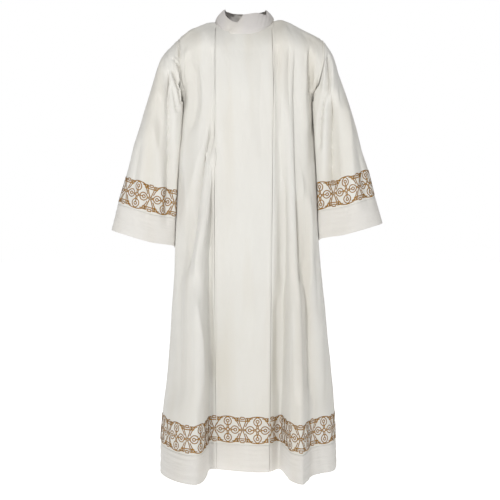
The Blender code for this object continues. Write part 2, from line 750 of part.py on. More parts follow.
def build():
    """Make every piece of the robe."""
    clear_scene()
    collection = bpy.data.collections.new("alb_robe")
    bpy.context.scene.collection.children.link(collection)
    cloth = {}
    for name, colour in MATERIALS.items():
        material = bpy.data.materials.new(name)
        material.use_nodes = True
        shader = material.node_tree.nodes["Principled BSDF"]
        shader.inputs["Base Color"].default_value = colour
        shader.inputs["Roughness"].default_value = 0.9
        cloth[name] = material

    left = body_sheet(FRONT_LEFT_FOLDS, True)
    panel = body_sheet(PANEL_FOLDS, True, PANEL_COLUMNS_PER_SPAN)
    right = body_sheet(FRONT_RIGHT_FOLDS, True)
    back = body_sheet(BACK_FOLDS, False)

    panel_normals = grid_normals(panel, flip=True)
    share_ring_normals(panel_normals, PANEL_FOLDS, PANEL_COLUMNS_PER_SPAN, True)
    tuck_under(left, (-3, -2), panel, panel_normals, (0, 1))
    tuck_under(right, (2, 1), panel, panel_normals, (-1, -2))
    left = left[:, :-1]
    right = right[:, 1:]

    left_normals = grid_normals(left, flip=True)
    right_normals = grid_normals(right, flip=True)
    back_normals = grid_normals(back)
    share_ring_normals(back_normals, BACK_FOLDS, COLUMNS_PER_SPAN, False)
    left_normals[0, -3:] = [ring_normal(-82), ring_normal(-73), ring_normal(-50)]
    right_normals[0, :3] = [ring_normal(48), ring_normal(66), ring_normal(80)]

    left_sleeve = sleeve_grid("left", armhole_loop(left, back, 0, 0))
    right_sleeve = sleeve_grid("right", armhole_loop(right, back, -1, -1))
    left_sleeve_normals = grid_normals(left_sleeve, closed=True, flip=True)
    right_sleeve_normals = grid_normals(right_sleeve, closed=True)
    share_armhole_normals(left_normals, back_normals, left_sleeve_normals, 0, 0)
    share_armhole_normals(right_normals, back_normals, right_sleeve_normals, -1, -1)
    share_side_seam_normals(left_normals, back_normals, 0, 0)
    share_side_seam_normals(right_normals, back_normals, -1, -1)
    for sheet, edges in ((left, ("top", "first")), (right, ("top", "last"))):
        for edge in edges:
            pull_back(sheet, edge, SEAM_GAP)
    for edge in ("top", "first", "last"):
        pull_back(back, edge, SEAM_GAP / 2)
    for sleeve in (left_sleeve, right_sleeve):
        pull_back(sleeve, "top", ARMHOLE_GAP - SEAM_GAP / 2)

    collection_parts = (
        ("front_centre_panel", panel, panel_normals, "body_cloth", False),
        ("front_side_left", left, left_normals, "body_cloth", False),
        ("front_side_right", right, right_normals, "body_cloth", False),
        ("back_panel", back, back_normals, "body_cloth", False),
        ("sleeve_left", left_sleeve, left_sleeve_normals, "sleeve_cloth", True),
        ("sleeve_right", right_sleeve, right_sleeve_normals, "sleeve_cloth", True),
    )
    for name, points, normals, material, closed in collection_parts:
        add_piece(collection, name, points, normals, cloth[material], closed)
    collar = collar_grid()
    collar_normals = grid_normals(collar, flip=True)
    share_collar_normals(collar_normals)
    add_piece(collection, "collar_band", collar, collar_normals, cloth["collar_cloth"])


build()
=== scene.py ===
"""Looks of the alb robe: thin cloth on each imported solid, with creases, seams and embroidered bands.

Metres, Z up, the front towards -Y. Each cloth starts as the same surface as its solid, worked out more
finely, and is then creased, let down a little at the shoulders, and embroidered.
"""

import math

import bpy
import numpy as np
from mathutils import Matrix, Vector


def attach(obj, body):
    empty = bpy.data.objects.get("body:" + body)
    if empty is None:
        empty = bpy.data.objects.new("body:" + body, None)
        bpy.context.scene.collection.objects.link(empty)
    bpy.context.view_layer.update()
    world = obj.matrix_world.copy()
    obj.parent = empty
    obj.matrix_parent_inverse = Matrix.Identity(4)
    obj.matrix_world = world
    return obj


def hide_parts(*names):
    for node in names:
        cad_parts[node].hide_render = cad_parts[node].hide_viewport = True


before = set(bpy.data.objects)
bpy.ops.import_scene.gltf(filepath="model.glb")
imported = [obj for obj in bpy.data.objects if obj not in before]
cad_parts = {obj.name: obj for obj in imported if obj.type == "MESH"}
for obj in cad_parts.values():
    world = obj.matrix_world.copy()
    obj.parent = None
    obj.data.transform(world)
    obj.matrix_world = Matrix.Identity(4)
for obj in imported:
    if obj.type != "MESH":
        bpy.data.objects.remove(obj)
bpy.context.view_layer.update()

# Metres in a millimetre, and the shortest length that a direction is divided by
MM = 0.001
SHORTEST = 1e-12

# Cloth
UP = np.array((0.0, 0.0, 1.0))
SHELL = 0.0010
NECK_GAP = 0.0004
UNDERLAP_DEPTH = 0.0060
UNDERLAP_SHARE = 2 / 3

# Main heights
HEM_Z = -1.448
UNDERARM_Z = -0.250
SECTION_Z = (-0.12, -0.25, -0.60, -0.95, -1.448)

# Neckline, an oval that dips at the front
NECK_CENTRE_X = -0.002
NECK_HALF_WIDTH = 0.094
NECK_FRONT_DEPTH = 0.085
NECK_BACK_DEPTH = 0.072
NECK_SIDE_Z = 0.0005
NECK_SIDE_TILT = 0.0025
NECK_FRONT_DIP = 0.0535
NECK_BACK_RISE = 0.004
NECK_DIP_POWER = 1.2
RING_LIFT = 14
RING_LIFT_SIDE = 26
NECK_CORNER_LEFT = -82.0
NECK_CORNER_RIGHT = 80.0

# Shoulder tips and armholes
TIP_X = {"left": -0.214, "right": 0.248}
TIP_Z = {"left": -0.0605, "right": -0.064}
UNDERARM_X = {"left": -0.208, "right": 0.222}
ARMHOLE_BULGE = {"left": 0.010, "right": 0.011}
ARMHOLE_DEPTH = 0.072
BULGE_POWER = 0.8
CROTCH_REACH = 0.020
SEAM_ANGLE = 24.0
SEAM_FORWARD_NECK = 0.012
SEAM_FORWARD_POWER = 0.8
SEAM_DROP_NECK = 0.003
SEAM_NECK_SHARE = 0.15
SHOULDER_BLEND = 0.25
RING_START_ANGLE = 52.0
RING_FALL = 0.105

# Rows and columns of each grid
FRONT_ARM_STEPS = 36
BACK_ARM_STEPS = 40
BELOW_STEPS = 130
BELOW_POWER = 0.85
BACK_STRIP_ROWS = 8
BACK_STRIP_DROP = 0.008
NECK_SPREAD = 0.002
STRIP_POWER = 1.9
COLUMNS_PER_SPAN = 10
PANEL_COLUMNS_PER_SPAN = 16
SLEEVE_ROWS = 120
COLLAR_COLUMNS = 220
COLLAR_ROWS = 18

# Sides of the robe as the viewer sees them: column in the two tables below, and sign of x
SIDE_COLUMN = {"left": 1, "right": 2}
SIGN = {"left": -1, "right": 1}

# Shoulder line: fraction of the way to the tip, height on the left, height on the right, in mm
SHOULDER_LINE = (
    (0.00, -4.8, 0.2),
    (0.13, -5.0, 2.6),
    (0.33, -13.0, -9.5),
    (0.54, -23.0, -25.5),
    (0.68, -31.0, -36.0),
    (0.82, -43.0, -46.5),
    (1.00, -60.5, -64.0),
)

# Side seams: height, distance from the middle on the left, on the right, in mm
SIDE_SEAMS = (
    (-250, 203.0, 215.0),
    (-362, 209.0, 225.0),
    (-418, 218.0, 230.0),
    (-600, 222.0, 233.5),
    (-710, 223.0, 237.0),
    (-800, 228.0, 246.0),
    (-950, 238.0, 261.0),
    (-1130, 251.5, 280.5),
    (-1280, 270.5, 294.0),
    (-1360, 276.5, 297.5),
    (-1448, 276.0, 298.5),
)

# Folds of the front and back, in mm, one row a fold line from shoulder or neckline to hem.
# Columns: name, neckline angle, shoulder fraction, x at chest, waist, knee and hem,
# depth at upper chest, chest, waist, knee and hem
FOLD_X = slice(3, 7)
FOLD_DEPTH = slice(7, 12)
FOLD_HEM_X = 6
FOLD_HEM_DEPTH = 11
FRONT_LEFT_FOLDS = (
    ("side_seam", None, 1.00, -203, -222, -238, -276, 72, 0, 0, 0, 0),
    ("side_turn", None, 0.81, -184, -213, -231, -266, 72, 58, 50, 62, 100),
    ("lobe_outer", None, 0.62, -163, -190, -205, -227, 84, 80, 84, 112, 172),
    ("lobe_corner", None, 0.46, -138, -160, -181, -178, 94, 104, 117, 150, 215),
    ("lobe_front", None, 0.32, -121, -138, -150, -148, 98, 109, 130, 166, 223),
    ("lobe_turn", None, 0.20, -110, -124, -131, -130, 101, 113, 129, 154, 192),
    ("lobe_wall", None, 0.10, -103.5, -114, -119, -119.5, 103, 116, 118, 114, 122),
    ("recess", -82, 0.00, -98, -106, -110, -111.5, 104, 118, 109, 89, 58),
    ("panel_edge", -73, None, -91, -93.6, -94, -90.5, 107, 122, 121, 95, 60),
    ("underlap", -61, None, -76, -79, -79, -76, 108, 124, 122, 98, 64),
)
PANEL_FOLDS = (
    ("edge_left", -73, None, -91, -93.6, -94, -90.5, 107, 122, 121, 95, 60),
    ("middle_left", -27, None, -45, -46, -46, -44, 110, 127, 124, 104, 73),
    ("centre", 0, None, -2, -4, -5, -6, 111, 128, 125, 109, 86),
    ("middle_right", 29, None, 43, 40, 38, 36, 111, 127, 124, 111, 93),
    ("edge_right", 66, None, 87.5, 84, 80.5, 77, 107, 122, 122, 112, 92),
)
FRONT_RIGHT_FOLDS = (
    ("underlap", 54, None, 72, 69, 66, 62, 108, 124, 122, 112, 93),
    ("panel_edge", 66, None, 87.5, 84, 80.5, 77, 107, 122, 122, 112, 92),
    ("recess", 80, 0.00, 97, 110, 116, 109, 104, 116, 106, 84, 56),
    ("lobe_wall", None, 0.12, 110, 126, 130, 129, 103, 114, 113, 114, 125),
    ("lobe_turn", None, 0.24, 126, 141, 143, 145, 101, 111, 123, 146, 190),
    ("lobe_front", None, 0.36, 144, 158, 168, 176, 98, 107, 126, 158, 221),
    ("lobe_corner", None, 0.47, 159, 173, 186, 194, 92, 98, 112, 138, 180),
    ("wall_foot", None, 0.56, 170, 186, 199, 209, 88, 93, 98, 108, 135),
    ("outer_ridge", None, 0.70, 186, 204, 216, 236, 82, 86, 88, 94, 108),
    ("side_turn", None, 0.86, 204, 224, 246, 283, 72, 56, 56, 62, 76),
    ("side_seam", None, 1.00, 215, 233.5, 261, 298.5, 72, 0, 0, 0, 0),
)
BACK_FOLDS = (
    ("side_seam", None, 1.00, -203, -222, -238, -276, 72, 0, 0, 0, 0),
    ("side_turn", None, 0.79, -184, -213, -231, -266, 72, 58, 46, 56, 82),
    ("outer_ridge", None, 0.55, -160, -178, -192, -217, 86, 92, 86, 102, 152),
    ("outer_trough", None, 0.25, -124, -132, -142, -160, 96, 101, 88, 86, 106),
    ("neck_corner", -82, 0.00, -99, -103, -109, -119, 100, 104, 96, 106, 140),
    ("left_ridge", -112, None, -80, -82, -86, -94, 101, 105, 102, 118, 170),
    ("left_trough", -150, None, -44, -44, -46, -50, 102, 106, 98, 100, 122),
    ("centre_ridge", -180, None, -4, -4, -2, 0, 102, 106, 101, 112, 150),
    ("right_trough", -212, None, 44, 44, 48, 54, 102, 106, 98, 98, 116),
    ("right_ridge", -248, None, 82, 84, 92, 102, 101, 105, 102, 118, 172),
    ("neck_corner", -280, 0.00, 99, 106, 114, 126, 100, 104, 95, 102, 134),
    ("outer_trough", None, 0.25, 128, 140, 152, 172, 96, 100, 86, 84, 104),
    ("outer_ridge", None, 0.55, 168, 188, 205, 236, 86, 90, 86, 100, 150),
    ("side_turn", None, 0.82, 206, 225, 247, 284, 70, 50, 46, 56, 80),
    ("side_seam", None, 1.00, 215, 233.5, 261, 298.5, 72, 0, 0, 0, 0),
)

# Sleeve rings below the armhole, in mm. Columns: outer x and z, inner x and z, front and back depth
SLEEVE_RINGS = {
    "left": (
        (-234, -84, -212.5, -258.5, 74, 74),
        (-256, -108, -217, -270, 77, 76),
        (-278, -155, -221.5, -288, 80, 78),
        (-295, -207, -226, -312, 82, 79),
        (-315, -272, -229.5, -350, 82, 79),
        (-339, -350, -232, -400, 80, 77),
        (-361, -418, -233, -465, 77, 74),
        (-381, -497, -233.5, -540, 73, 70),
        (-407.5, -583, -234, -630, 68, 66),
        (-432.5, -677, -233.5, -734, 62, 61),
    ),
    "right": (
        (262, -85, 226.5, -258.5, 74, 74),
        (281, -118, 231, -270, 77, 76),
        (300, -178, 235.5, -288, 80, 78),
        (315.5, -222, 239.5, -312, 82, 79),
        (335.5, -282, 242.5, -348, 82, 79),
        (358.5, -354.5, 244.5, -398, 80, 77),
        (374.5, -417.5, 245.5, -458, 77, 74),
        (396, -484, 245.5, -524, 73, 70),
        (418, -563, 245.5, -604, 68, 66),
        (445.5, -655, 245, -711, 62, 61),
    ),
}
SLEEVE_POWER = 2.15
ARMHOLE_FADE_RINGS = 6
FOLD_RUN_OUT = 1.3
FOLD_PEAK = 0.75

# Sleeve folds. Columns: first ring, last ring, angle at the first, angle at the last,
# half width in degrees, height in mm (minus for a trough). Angle 0 is outside, 90 in front
SLEEVE_FOLDS = {
    "left": (
        (1.5, 9.0, 66, 140, 26, -8.0),
        (3.0, 10.0, 40, 96, 24, 4.0),
        (3.0, 10.0, 250, 236, 26, -7.0),
        (2.0, 9.0, 300, 285, 24, 4.0),
    ),
    "right": (
        (3.5, 9.5, 80, 124, 26, -8.0),
        (2.5, 10.0, 46, 84, 24, 4.0),
        (3.0, 10.0, 246, 232, 26, -7.0),
        (2.0, 9.0, 304, 290, 24, 4.0),
    ),
}

# Collar rim, in mm: angle round the neck as the band is wound, height of the rim
COLLAR_RIM = (
    (12, -22.0),
    (-24, -13.6),
    (-47, 2.3),
    (-60, 13.7),
    (-90, 38.0),
    (-130, 37.0),
    (-180, 35.0),
    (-230, 37.0),
    (-270, 37.0),
    (-280, 30.0),
    (-297, 13.0),
    (-318, 18.0),
    (-342, 14.0),
    (-363, 11.7),
)
# The band is wound from the start angle to one end angle at its foot and another at its rim
COLLAR_START = 12.0
COLLAR_END_BASE = -390.0
COLLAR_END_RIM = -363.0
COLLAR_LEAN_SIDE = 0.028
COLLAR_LEAN_BACK = 0.015
COLLAR_LEAN_POWER = 1.7
COLLAR_REACH_SIDE = 0.043
COLLAR_REACH_FRONT = 0.068
COLLAR_WINDING = 0.0012

# Creases, in mm. Columns: half width, height (minus for a trough), then x and z of each
# point of the path as it is seen from the front
CREASES = {
    "front_side_left": (
        (10, -4.0, -166, -142, -156, -204, -153, -270, -163, -330, -175, -380),
        (11, -8.0, -92, -320, -110, -424, -131, -477, -150, -583, -169, -711, -188, -840),
        (11, 3.6, -94, -380, -104, -470, -116, -560, -128, -660, -140, -760),
        (8, -5.0, -207, -142, -200, -186, -197, -245, -191, -298),
        (14, 2.6, -210, -392, -185, -517, -178, -674),
        (13, 5.0, -152, -840, -136, -1020, -128, -1230),
        (20, -6.0, -216, -760, -210, -1000, -206, -1240),
        (9, -3.6, -116, -800, -110, -1000, -106, -1180),
        (12, -2.4, -235, -893, -232, -1081, -241, -1269),
        (9, 2.4, -178, -100, -186, -150, -180, -215),
        (9, -1.8, -104, -100, -108, -190, -101, -260),
        (7, -2.2, -150, -150, -140, -240, -146, -330),
        (9, 3.4, -120, -560, -140, -700, -158, -850),
        (11, -3.4, -170, -560, -192, -720, -206, -860),
        (11, -2.6, -205, -480, -214, -640, -206, -800),
    ),
    "front_side_right": (
        (10, -4.6, 166, -82, 156, -98, 156, -236, 160, -392, 163, -517, 172, -643, 188, -893),
        (6, -5.0, 204, -96, 206, -189, 206, -262),
        (9, 2.2, 226, -100, 222, -170, 214, -235),
        (10, -4.4, 120, -480, 122, -705, 122, -900),
        (15, -7.0, 168, -540, 178, -700, 186, -860),
        (12, 4.0, 202, -540, 206, -700, 208, -870),
        (16, 4.0, 146, -880, 156, -1050, 160, -1220),
        (13, -4.0, 104, -860, 106, -1040, 108, -1230),
        (12, -1.6, 114, -250, 110, -400, 112, -540),
        (16, -8.0, 184, -740, 202, -900, 208, -1050, 212, -1240),
        (12, -3.2, 238, -580, 228, -768, 238, -987),
        (12, -2.0, 103, -361, 113, -486, 106, -611),
        (11, 2.4, 188, -150, 186, -260, 192, -380),
        (9, -3.4, 222, -300, 214, -380, 220, -480),
        (12, -2.6, 255, -980, 262, -1120, 258, -1260),
        (9, -1.8, 98, -95, 104, -150, 98, -240),
        (7, -2.2, 138, -92, 134, -200, 140, -330),
        (8, 3.0, 176, -470, 186, -640, 190, -800),
    ),
    "front_centre_panel": (
        (26, 1.3, -8, -80, -12, -260, 2, -560),
        (14, -1.0, -60, -120, -48, -240, -56, -380),
        (15, -1.1, 52, -140, 44, -300, 54, -470),
        (18, 1.0, 30, -620, 22, -820, 34, -1010),
        (17, -1.0, -40, -700, -52, -900, -44, -1120),
    ),
    "back_panel": (
        (11, -4.0, -150, -110, -142, -240, -150, -400),
        (13, -3.0, -60, -70, -52, -230, -66, -430),
        (15, 2.4, 10, -60, 20, -260, 12, -520),
        (12, -3.4, 70, -90, 82, -250, 70, -460),
        (12, -4.2, 160, -120, 150, -280, 164, -450),
        (8, -4.6, -196, -140, -188, -220, -184, -310),
        (8, -4.6, 205, -140, 198, -220, 196, -320),
        (12, -3.6, -130, -480, -150, -620, -172, -800),
        (13, -3.0, 40, -560, 28, -760, 40, -980),
        (12, 3.0, 130, -520, 150, -690, 170, -900),
        (12, 2.6, -90, -700, -100, -900, -92, -1120),
        (12, -3.2, 215, -600, 228, -800, 236, -1000),
        (12, -3.0, -225, -640, -236, -860, -246, -1080),
    ),
    "sleeve_left": (
        (4, -3.4, -207, -92, -207, -135),
        (4, -3.6, -230, -132, -208, -162, -198, -182),
        (4, -3.6, -204, -158, -190, -190),
        (4, -4.4, -232, -168, -207, -232, -196, -288),
        (6, 2.6, -222, -128, -212, -180, -202, -222),
        (6, 2.4, -245, -118, -243, -160, -236, -205),
        (6, -3.6, -229, -215, -221, -262, -214, -310),
        (10, -7.0, -240, -130, -242, -326, -245, -517, -249, -700),
        (9, 2.6, -252, -200, -256, -400, -262, -640),
        (4, -2.4, -240, -168, -240, -245),
        (16, 3.2, -301, -295, -276, -422, -269, -580),
        (10, 2.4, -262, -112, -270, -180, -262, -270),
        (14, -2.4, -330, -380, -345, -470, -366, -600),
        (14, -2.2, -295, -480, -312, -580, -318, -690),
    ),
    "sleeve_right": (
        (5, -5.0, 262, -110, 261, -215, 255, -262),
        (6, 2.6, 252, -120, 250, -200, 245, -256),
        (7, 2.4, 272, -130, 273, -215, 266, -290),
        (6, -4.2, 252, -240, 243, -300, 238, -360, 236, -440),
        (12, -10.0, 272, -220, 274, -390, 279, -600),
        (16, 3.2, 317, -231, 333, -390, 345, -590),
        (10, -2.6, 295, -104, 304, -200, 297, -300),
        (14, -2.4, 360, -400, 378, -500, 398, -620),
        (14, -2.2, 305, -470, 318, -560, 330, -660),
    ),
}
# The same on the backs of the sleeves
SLEEVE_BACK_CREASES = {
    "sleeve_left": (
        (9, -4.8, -238, -130, -232, -210, -214, -290),
        (12, -4.0, -262, -170, -266, -350, -262, -560),
        (15, 3.0, -310, -300, -322, -450, -345, -620),
        (13, -2.6, -290, -420, -296, -540, -300, -680),
    ),
    "sleeve_right": (
        (9, -4.8, 256, -130, 252, -220, 236, -292),
        (12, -4.0, 284, -180, 286, -340, 282, -540),
        (15, 3.0, 330, -300, 346, -440, 370, -600),
        (13, -2.6, 306, -430, 314, -540, 322, -670),
    ),
}

CREASE_GAIN = 2.5
CREASE_POWER = 1.1
CREASE_LEAN = 0.35
CREASE_LEAN_REACH = 1.5
CREASE_BANK = 0.22
CREASE_BANK_PLACE = 2.0
CREASE_END_SHARE = 0.22
CREASE_WIDTH_START = 0.8
CREASE_WIDTH_GROWTH = 0.5
FACING_GAIN = 1.6

# Soft uneven drape and fine wrinkles. Columns: height in mm, waves across a metre, waves down a metre
DRAPE_WAVES = (
    (0.75, 9.0, 1.3),
    (0.55, 15.0, -2.6),
    (0.38, 24.0, 4.2),
    (0.24, 37.0, -7.0),
    (0.15, 58.0, 13.0),
)
DRAPE_DEPTH_SHARE = 0.6
DRAPE_BEND = 0.9
DRAPE_BEND_WAVES = 1.7
DRAPE_CHANGE = 3.1
DRAPE_EVEN = 0.6
DRAPE_UNEVEN = 0.4
HEM_WRINKLES = ((0.6, 3.0, 42.0), (0.4, -5.0, 63.0), (0.2, 8.0, 95.0))
WRINKLE_DEPTH_SHARE = 0.5
WRINKLE_FADE = 0.012
WRINKLE_PATCH_WAVES = 5.3
WRINKLE_SEED = 50

# Sewn edges: a groove beside the seam and a ridge of turned cloth behind it
EDGE_FADE = 0.008
GROOVE_DEPTH = 0.0026
GROOVE_PLACE = 0.0045
GROOVE_WIDTH = 0.0034
RIDGE_HEIGHT = 0.0045
RIDGE_PLACE = 0.020
RIDGE_WIDTH = 0.011
RIDGE_START = 0.004
RIDGE_RUN_IN = 0.035
STEP_DEPTH = 0.0036
STEP_REACH = 0.013
# Columns: angle round the sleeve, half width, share of the depth
STEP_PLACES = ((105, 42, 1.0), (250, 36, 0.3))

# Hems
HEM_DEPTH = 0.088
HEM_EXTRA = 0.0012
HEM_LINE_DEPTH = 0.0005
HEM_LINE_WIDTH = 0.004
PANEL_TURN = 0.022
PANEL_TURN_EXTRA = 0.0008
COLLAR_EXTRA = 0.0006

# Sheets of cloth. Columns: closed round, flipped, sewn edges, seed, side that shows, -1 front or 1 back
OPEN_EDGES = ("top", "first", "last")
SHEETS = {
    "front_side_left": (False, True, OPEN_EDGES, 11, -1),
    "front_side_right": (False, True, OPEN_EDGES, 12, -1),
    "front_centre_panel": (False, True, OPEN_EDGES, 13, -1),
    "back_panel": (False, False, OPEN_EDGES, 14, 1),
    "sleeve_left": (True, True, ("top",), 15, -1),
    "sleeve_right": (True, False, ("top",), 16, -1),
}

# Fit of the shown cloth: shoulders let down, collar fitted, back softened below the neckline
SETTLE_DROP = 0.0070
SETTLE_FROM = -0.17
SETTLE_RISE = 0.14
COLLAR_MIDDLE = 0.003
COLLAR_DRAW_IN = 0.11
COLLAR_DROP = 0.0005
COLLAR_FRONT_DROP = 0.003
COLLAR_FRONT_REACH = 0.05
COLLAR_RISE_POWER = 1.3
COLLAR_SEAM_DROP = 0.0085
COLLAR_SEAM_OUT = 0.0012
COLLAR_CAP = 0.006
COLLAR_CAP_SHARE = 0.35
COLLAR_TUCK_IN = 0.0024
COLLAR_TUCK_DOWN = 0.0045
TUCK_POWER = 10
SOFTEN_REACH = 0.058
SOFTEN_START = 3
SOFTEN_RAMP = 7
SOFTEN_END_Z = -0.36
SOFTEN_END_FADE = 0.14

# Collar wrinkles. Columns: height, waves round, turn up the band, phase. First strongest behind
COLLAR_BACK_WAVES = ((0.8, 84, 7.0, 0.0), (0.6, 139, -5.0, 1.3))
COLLAR_BACK_HEIGHT = 0.0018
COLLAR_BACK_PLACE = (0.46, 0.18)
COLLAR_END_WAVES = ((0.0010, 210, 5.0, 0.0),)
COLLAR_END_PLACE = (0.84, 0.05)
COLLAR_ALL_WAVES = ((0.0006, 46, 3.0, 0.0), (0.0004, 18, -9.0, 0.0))
COLLAR_RIM_CALM = 0.85
COLLAR_RIM_POWER = 9
COLLAR_FOOT_RISE = 4

# Sleeves: finer columns, and the inner wall laid beside the body. Angles in degrees
SLEEVE_FINER = 2
SLEEVE_WRAP = 3
SLEEVE_ROW_POWER = 1.25
INNER_FILL_ANGLE = 198.0
INNER_FILL_START = 105.0
INNER_FILL_FRONT = 50.0
INNER_FILL_BACK = 34.0
INNER_FILL_RING = 0.25
INNER_FILL_RINGS = 1.3
INNER_CLEARANCE = 0.0030
BESIDE_SPANS = 2

# Embroidered bands
BAND_BOTTOM = 0.094
BAND_HEIGHT = 0.086
BAND_TOP = 0.2
BAND_TABLE_STEP = 0.004
BAND_TABLE_MARGIN = 0.001
BAND_END_GAP = 0.0005
REPEAT = 0.097
BACK_PHASE = 0.02
CUFF_PHASE = {"sleeve_left": 0.006, "sleeve_right": 0.046}
THREAD_WIDTH = 0.0034
THREAD_TOP_SHARE = 1 / 5
THREAD_HEIGHT = 0.0008
THREAD_SINK = 0.0002
MOTIF_STEP = 0.0024
OVAL_STEPS = 24
TIP_WIDTH = 0.45
BORDER_STEPS = 19
SCROLL_STEPS = 11

# Motifs in mm from the middle of the band. A bud-ended cross stands at 0 and a flared cross half a repeat on
HALF = REPEAT / 2 / MM
MIDDLE = BAND_HEIGHT / 2 / MM
# Buds: x, y and the angle that each points away
BUDS = ((0, 26.5, 90), (0, -26.5, -90), (23.5, 0, 0), (-23.5, 0, 180))
BUD_RADIUS = 12.2
BUD_TIP = 0.2
KNOT_RADIUS = 4.6
KNOT_PLACE = 1.5
BUD_STROKE = (11, 4)
RING_RADIUS = 5.2
# Strokes of one quarter, mirrored to the other three
QUARTER_STROKES = (
    ((2.4, 5), (2.4, 14)),
    ((5, 2.2), (11, 2.2)),
    ((HALF - 13, 1.8), (HALF, 2.2)),
)
# Strokes of the flared cross, from its middle: mirrored ones, and ones whole as they are
FLARE_STROKES = (
    ((2.0, 4), (5.5, 12), (11.5, 29)),
    ((23, 29), (23, 38.5), (10.5, 38.5), (10.5, 29)),
)
FLARE_WHOLE = (
    ((-23, 29), (23, 29)),
    ((-6, 35), (-6, 41.5), (6, 41.5), (6, 35), (-6, 35)),
)
FLARE_DOT = (16.5, 33.8, 2.2)
# Border arc: reach short of the half, foot, rise and power
BORDER_ARC = (22, 36, 7.0, 0.6)
# Side scroll: start, end short of the half, foot, fall, power and swell
SCROLL = (15, 10, 37, 26, 1.6, 3)

# Stitches
STITCH_LENGTH = 0.0030
STITCH_PITCH = 0.0038
STITCH_WIDTH = 0.0007
STITCH_HEIGHT = 0.0003
STITCH_SINK = 0.00005
STITCH_BASE_SINK = 0.0001
STITCH_START = 0.001
STITCH_PLACES = (0.0, 0.25, 0.75, 1.0)
STITCH_INSET = 0.004
STITCH_BELOW_HEM_LINE = 0.003
# Stitched columns beside an edge: which end, and how many rows down from the top, or None for all
STITCH_COLUMNS = {
    "front_centre_panel": ((0, None), (-1, None)),
    "back_panel": ((0, BACK_STRIP_ROWS + BACK_ARM_STEPS), (-1, BACK_STRIP_ROWS + BACK_ARM_STEPS)),
    "front_side_left": ((0, FRONT_ARM_STEPS),),
    "front_side_right": ((-1, FRONT_ARM_STEPS),),
}
# Stitched rows of the grid
STITCH_ROWS = {"collar_band": (2, -3), "back_panel": (2,)}

# Colours
LIT = (0.800, 0.790, 0.748)
WARM = (0.765, 0.742, 0.688)
COLLAR_LIT = (0.740, 0.712, 0.690)
COLLAR_WARM = (0.675, 0.640, 0.615)
HEM_TONE = (0.755, 0.722, 0.690)
# Beige tint painted in long vertical streaks as the tinted shade of the fold hollows
SHADE_STREAK_TINT = (0.725, 0.690, 0.612)
# One golden-brown embroidery thread as two colours: darker brown, painted shade on its sides, and lighter
# gold, a painted highlight on its top
THREAD_BROWN_SHADE = (0.076, 0.030, 0.002)
THREAD_GOLD_HIGHLIGHT = (0.460, 0.218, 0.010)
# Sewing thread, darker than the cloth, so that its stitches also paint the shade line along the seams
SEAM_SHADE_THREAD = (0.60, 0.57, 0.52)
FLOOR_COLOUR = (0.92, 0.92, 0.915)
WHITE = (1.0, 1.0, 1.0, 1.0)

# Cloth finish
CLOTH_FINISH = {
    "Roughness": 0.82,
    "Sheen Weight": 0.22,
    "Sheen Roughness": 0.45,
    "Specular IOR Level": 0.25,
}
PATCH_SCALE = 5.0
PATCH_DETAIL = 5.0
HEM_SHARE = 0.4
HEM_LINE_HALF = 0.001
# Painted shade streaks: stretch and detail of their noise, range, share of the tint and offset
STREAK_SCALE = (13.0, 9.0, 1.3)
STREAK_DETAIL = 2.0
STREAK_RANGE = (0.46, 0.72)
STREAK_SHARE = 0.75
STREAK_PLACE = 0.3
WEAVE_SCALE = 320.0
WEAVE_DISTORTION = 0.6
WEAVE_SHADE = 0.10
WEAVE_BUMP = 0.0002
WEAVE_BUMP_STRENGTH = 0.35
# Uneven cloth. Columns: scale, whether only on the hems, depth
UNEVEN = (((7.0, 62.0, 1.0), True, 0.0075), ((16.0, 11.0, 1.0), False, 0.0018))
UNEVEN_DETAIL = 3.0
THREAD_SPECULAR = 0.3
THREAD_NOISE_SCALE = 300.0
THREAD_TONE_CHANGE = 0.25
SHARP_ANGLE = 50
# Cloths by material slot. Columns: colour, shade, seed, share of the hem's tone
CLOTHS = {
    "body_cloth": (LIT, WARM, 0.0, HEM_SHARE),
    "sleeve_cloth": (LIT, WARM, 1.3, HEM_SHARE),
    "collar_cloth": (COLLAR_LIT, COLLAR_WARM, 2.1, 0.0),
}
# Threads. Columns: colour, roughness, sheen. Brown and gold are one golden-brown thread, its sides painted
# darker as shade and its top painted lighter as a highlight; the sewing thread is darkened to paint the
# shade line along the seams
THREADS = {
    "thread_brown_shade": (THREAD_BROWN_SHADE, 0.6, 0.0),
    "thread_gold_highlight": (THREAD_GOLD_HIGHLIGHT, 0.45, 0.0),
    "sewing_thread_seam_shade": (SEAM_SHADE_THREAD, 0.7, 0.2),
}

# Studio
WORLD_LIGHT = 0.15
# Columns: name, place, size, power
LIGHTS = (
    ("key", (-1.0, -3.8, 2.2), 0.5, 112.0),
    ("fill", (2.4, -2.8, 1.0), 1.6, 8.0),
    ("rim", (0.6, 3.0, 1.0), 2.4, 32.0),
)
LIGHT_TARGET = (0.0, 0.0, -0.7)
FLOOR_Z = -1.60
FLOOR_REACH = 12.0
FLOOR_GLOW = 0.90
FLOOR_ROUGHNESS = 0.9
CAMERA_LENS = 66.5
CAMERA_SENSOR = 36.0
CAMERA_TARGET = (0.016, 0.0, -0.7425)
CAMERA_RISE = 3.1
CAMERA_DISTANCE = 3.0


def smooth_slopes(knots, values):
    """Slopes of a cubic through the values that doesn't overshoot them."""
    step = np.diff(knots).reshape(-1, *[1] * (values.ndim - 1))
    rise = np.diff(values, axis=0) / step
    slopes = np.zeros_like(values)
    slopes[0] = rise[0]
    slopes[-1] = rise[-1]
    before = rise[:-1]
    after = rise[1:]
    turning = before * after <= 0
    total = np.where(turning, 1.0, before + after)
    slopes[1:-1] = np.where(turning, 0.0, 2 * before * after / total)
    return slopes


def cubic(t, width, start, end, slope_start, slope_end):
    """Cubic across a width from start to end, with these slopes there. t goes from 0 to 1."""
    first = (1 + 2 * t) * (1 - t) ** 2 * start + t * (1 - t) ** 2 * width * slope_start
    return first + t * t * (3 - 2 * t) * end - t * t * (1 - t) * width * slope_end


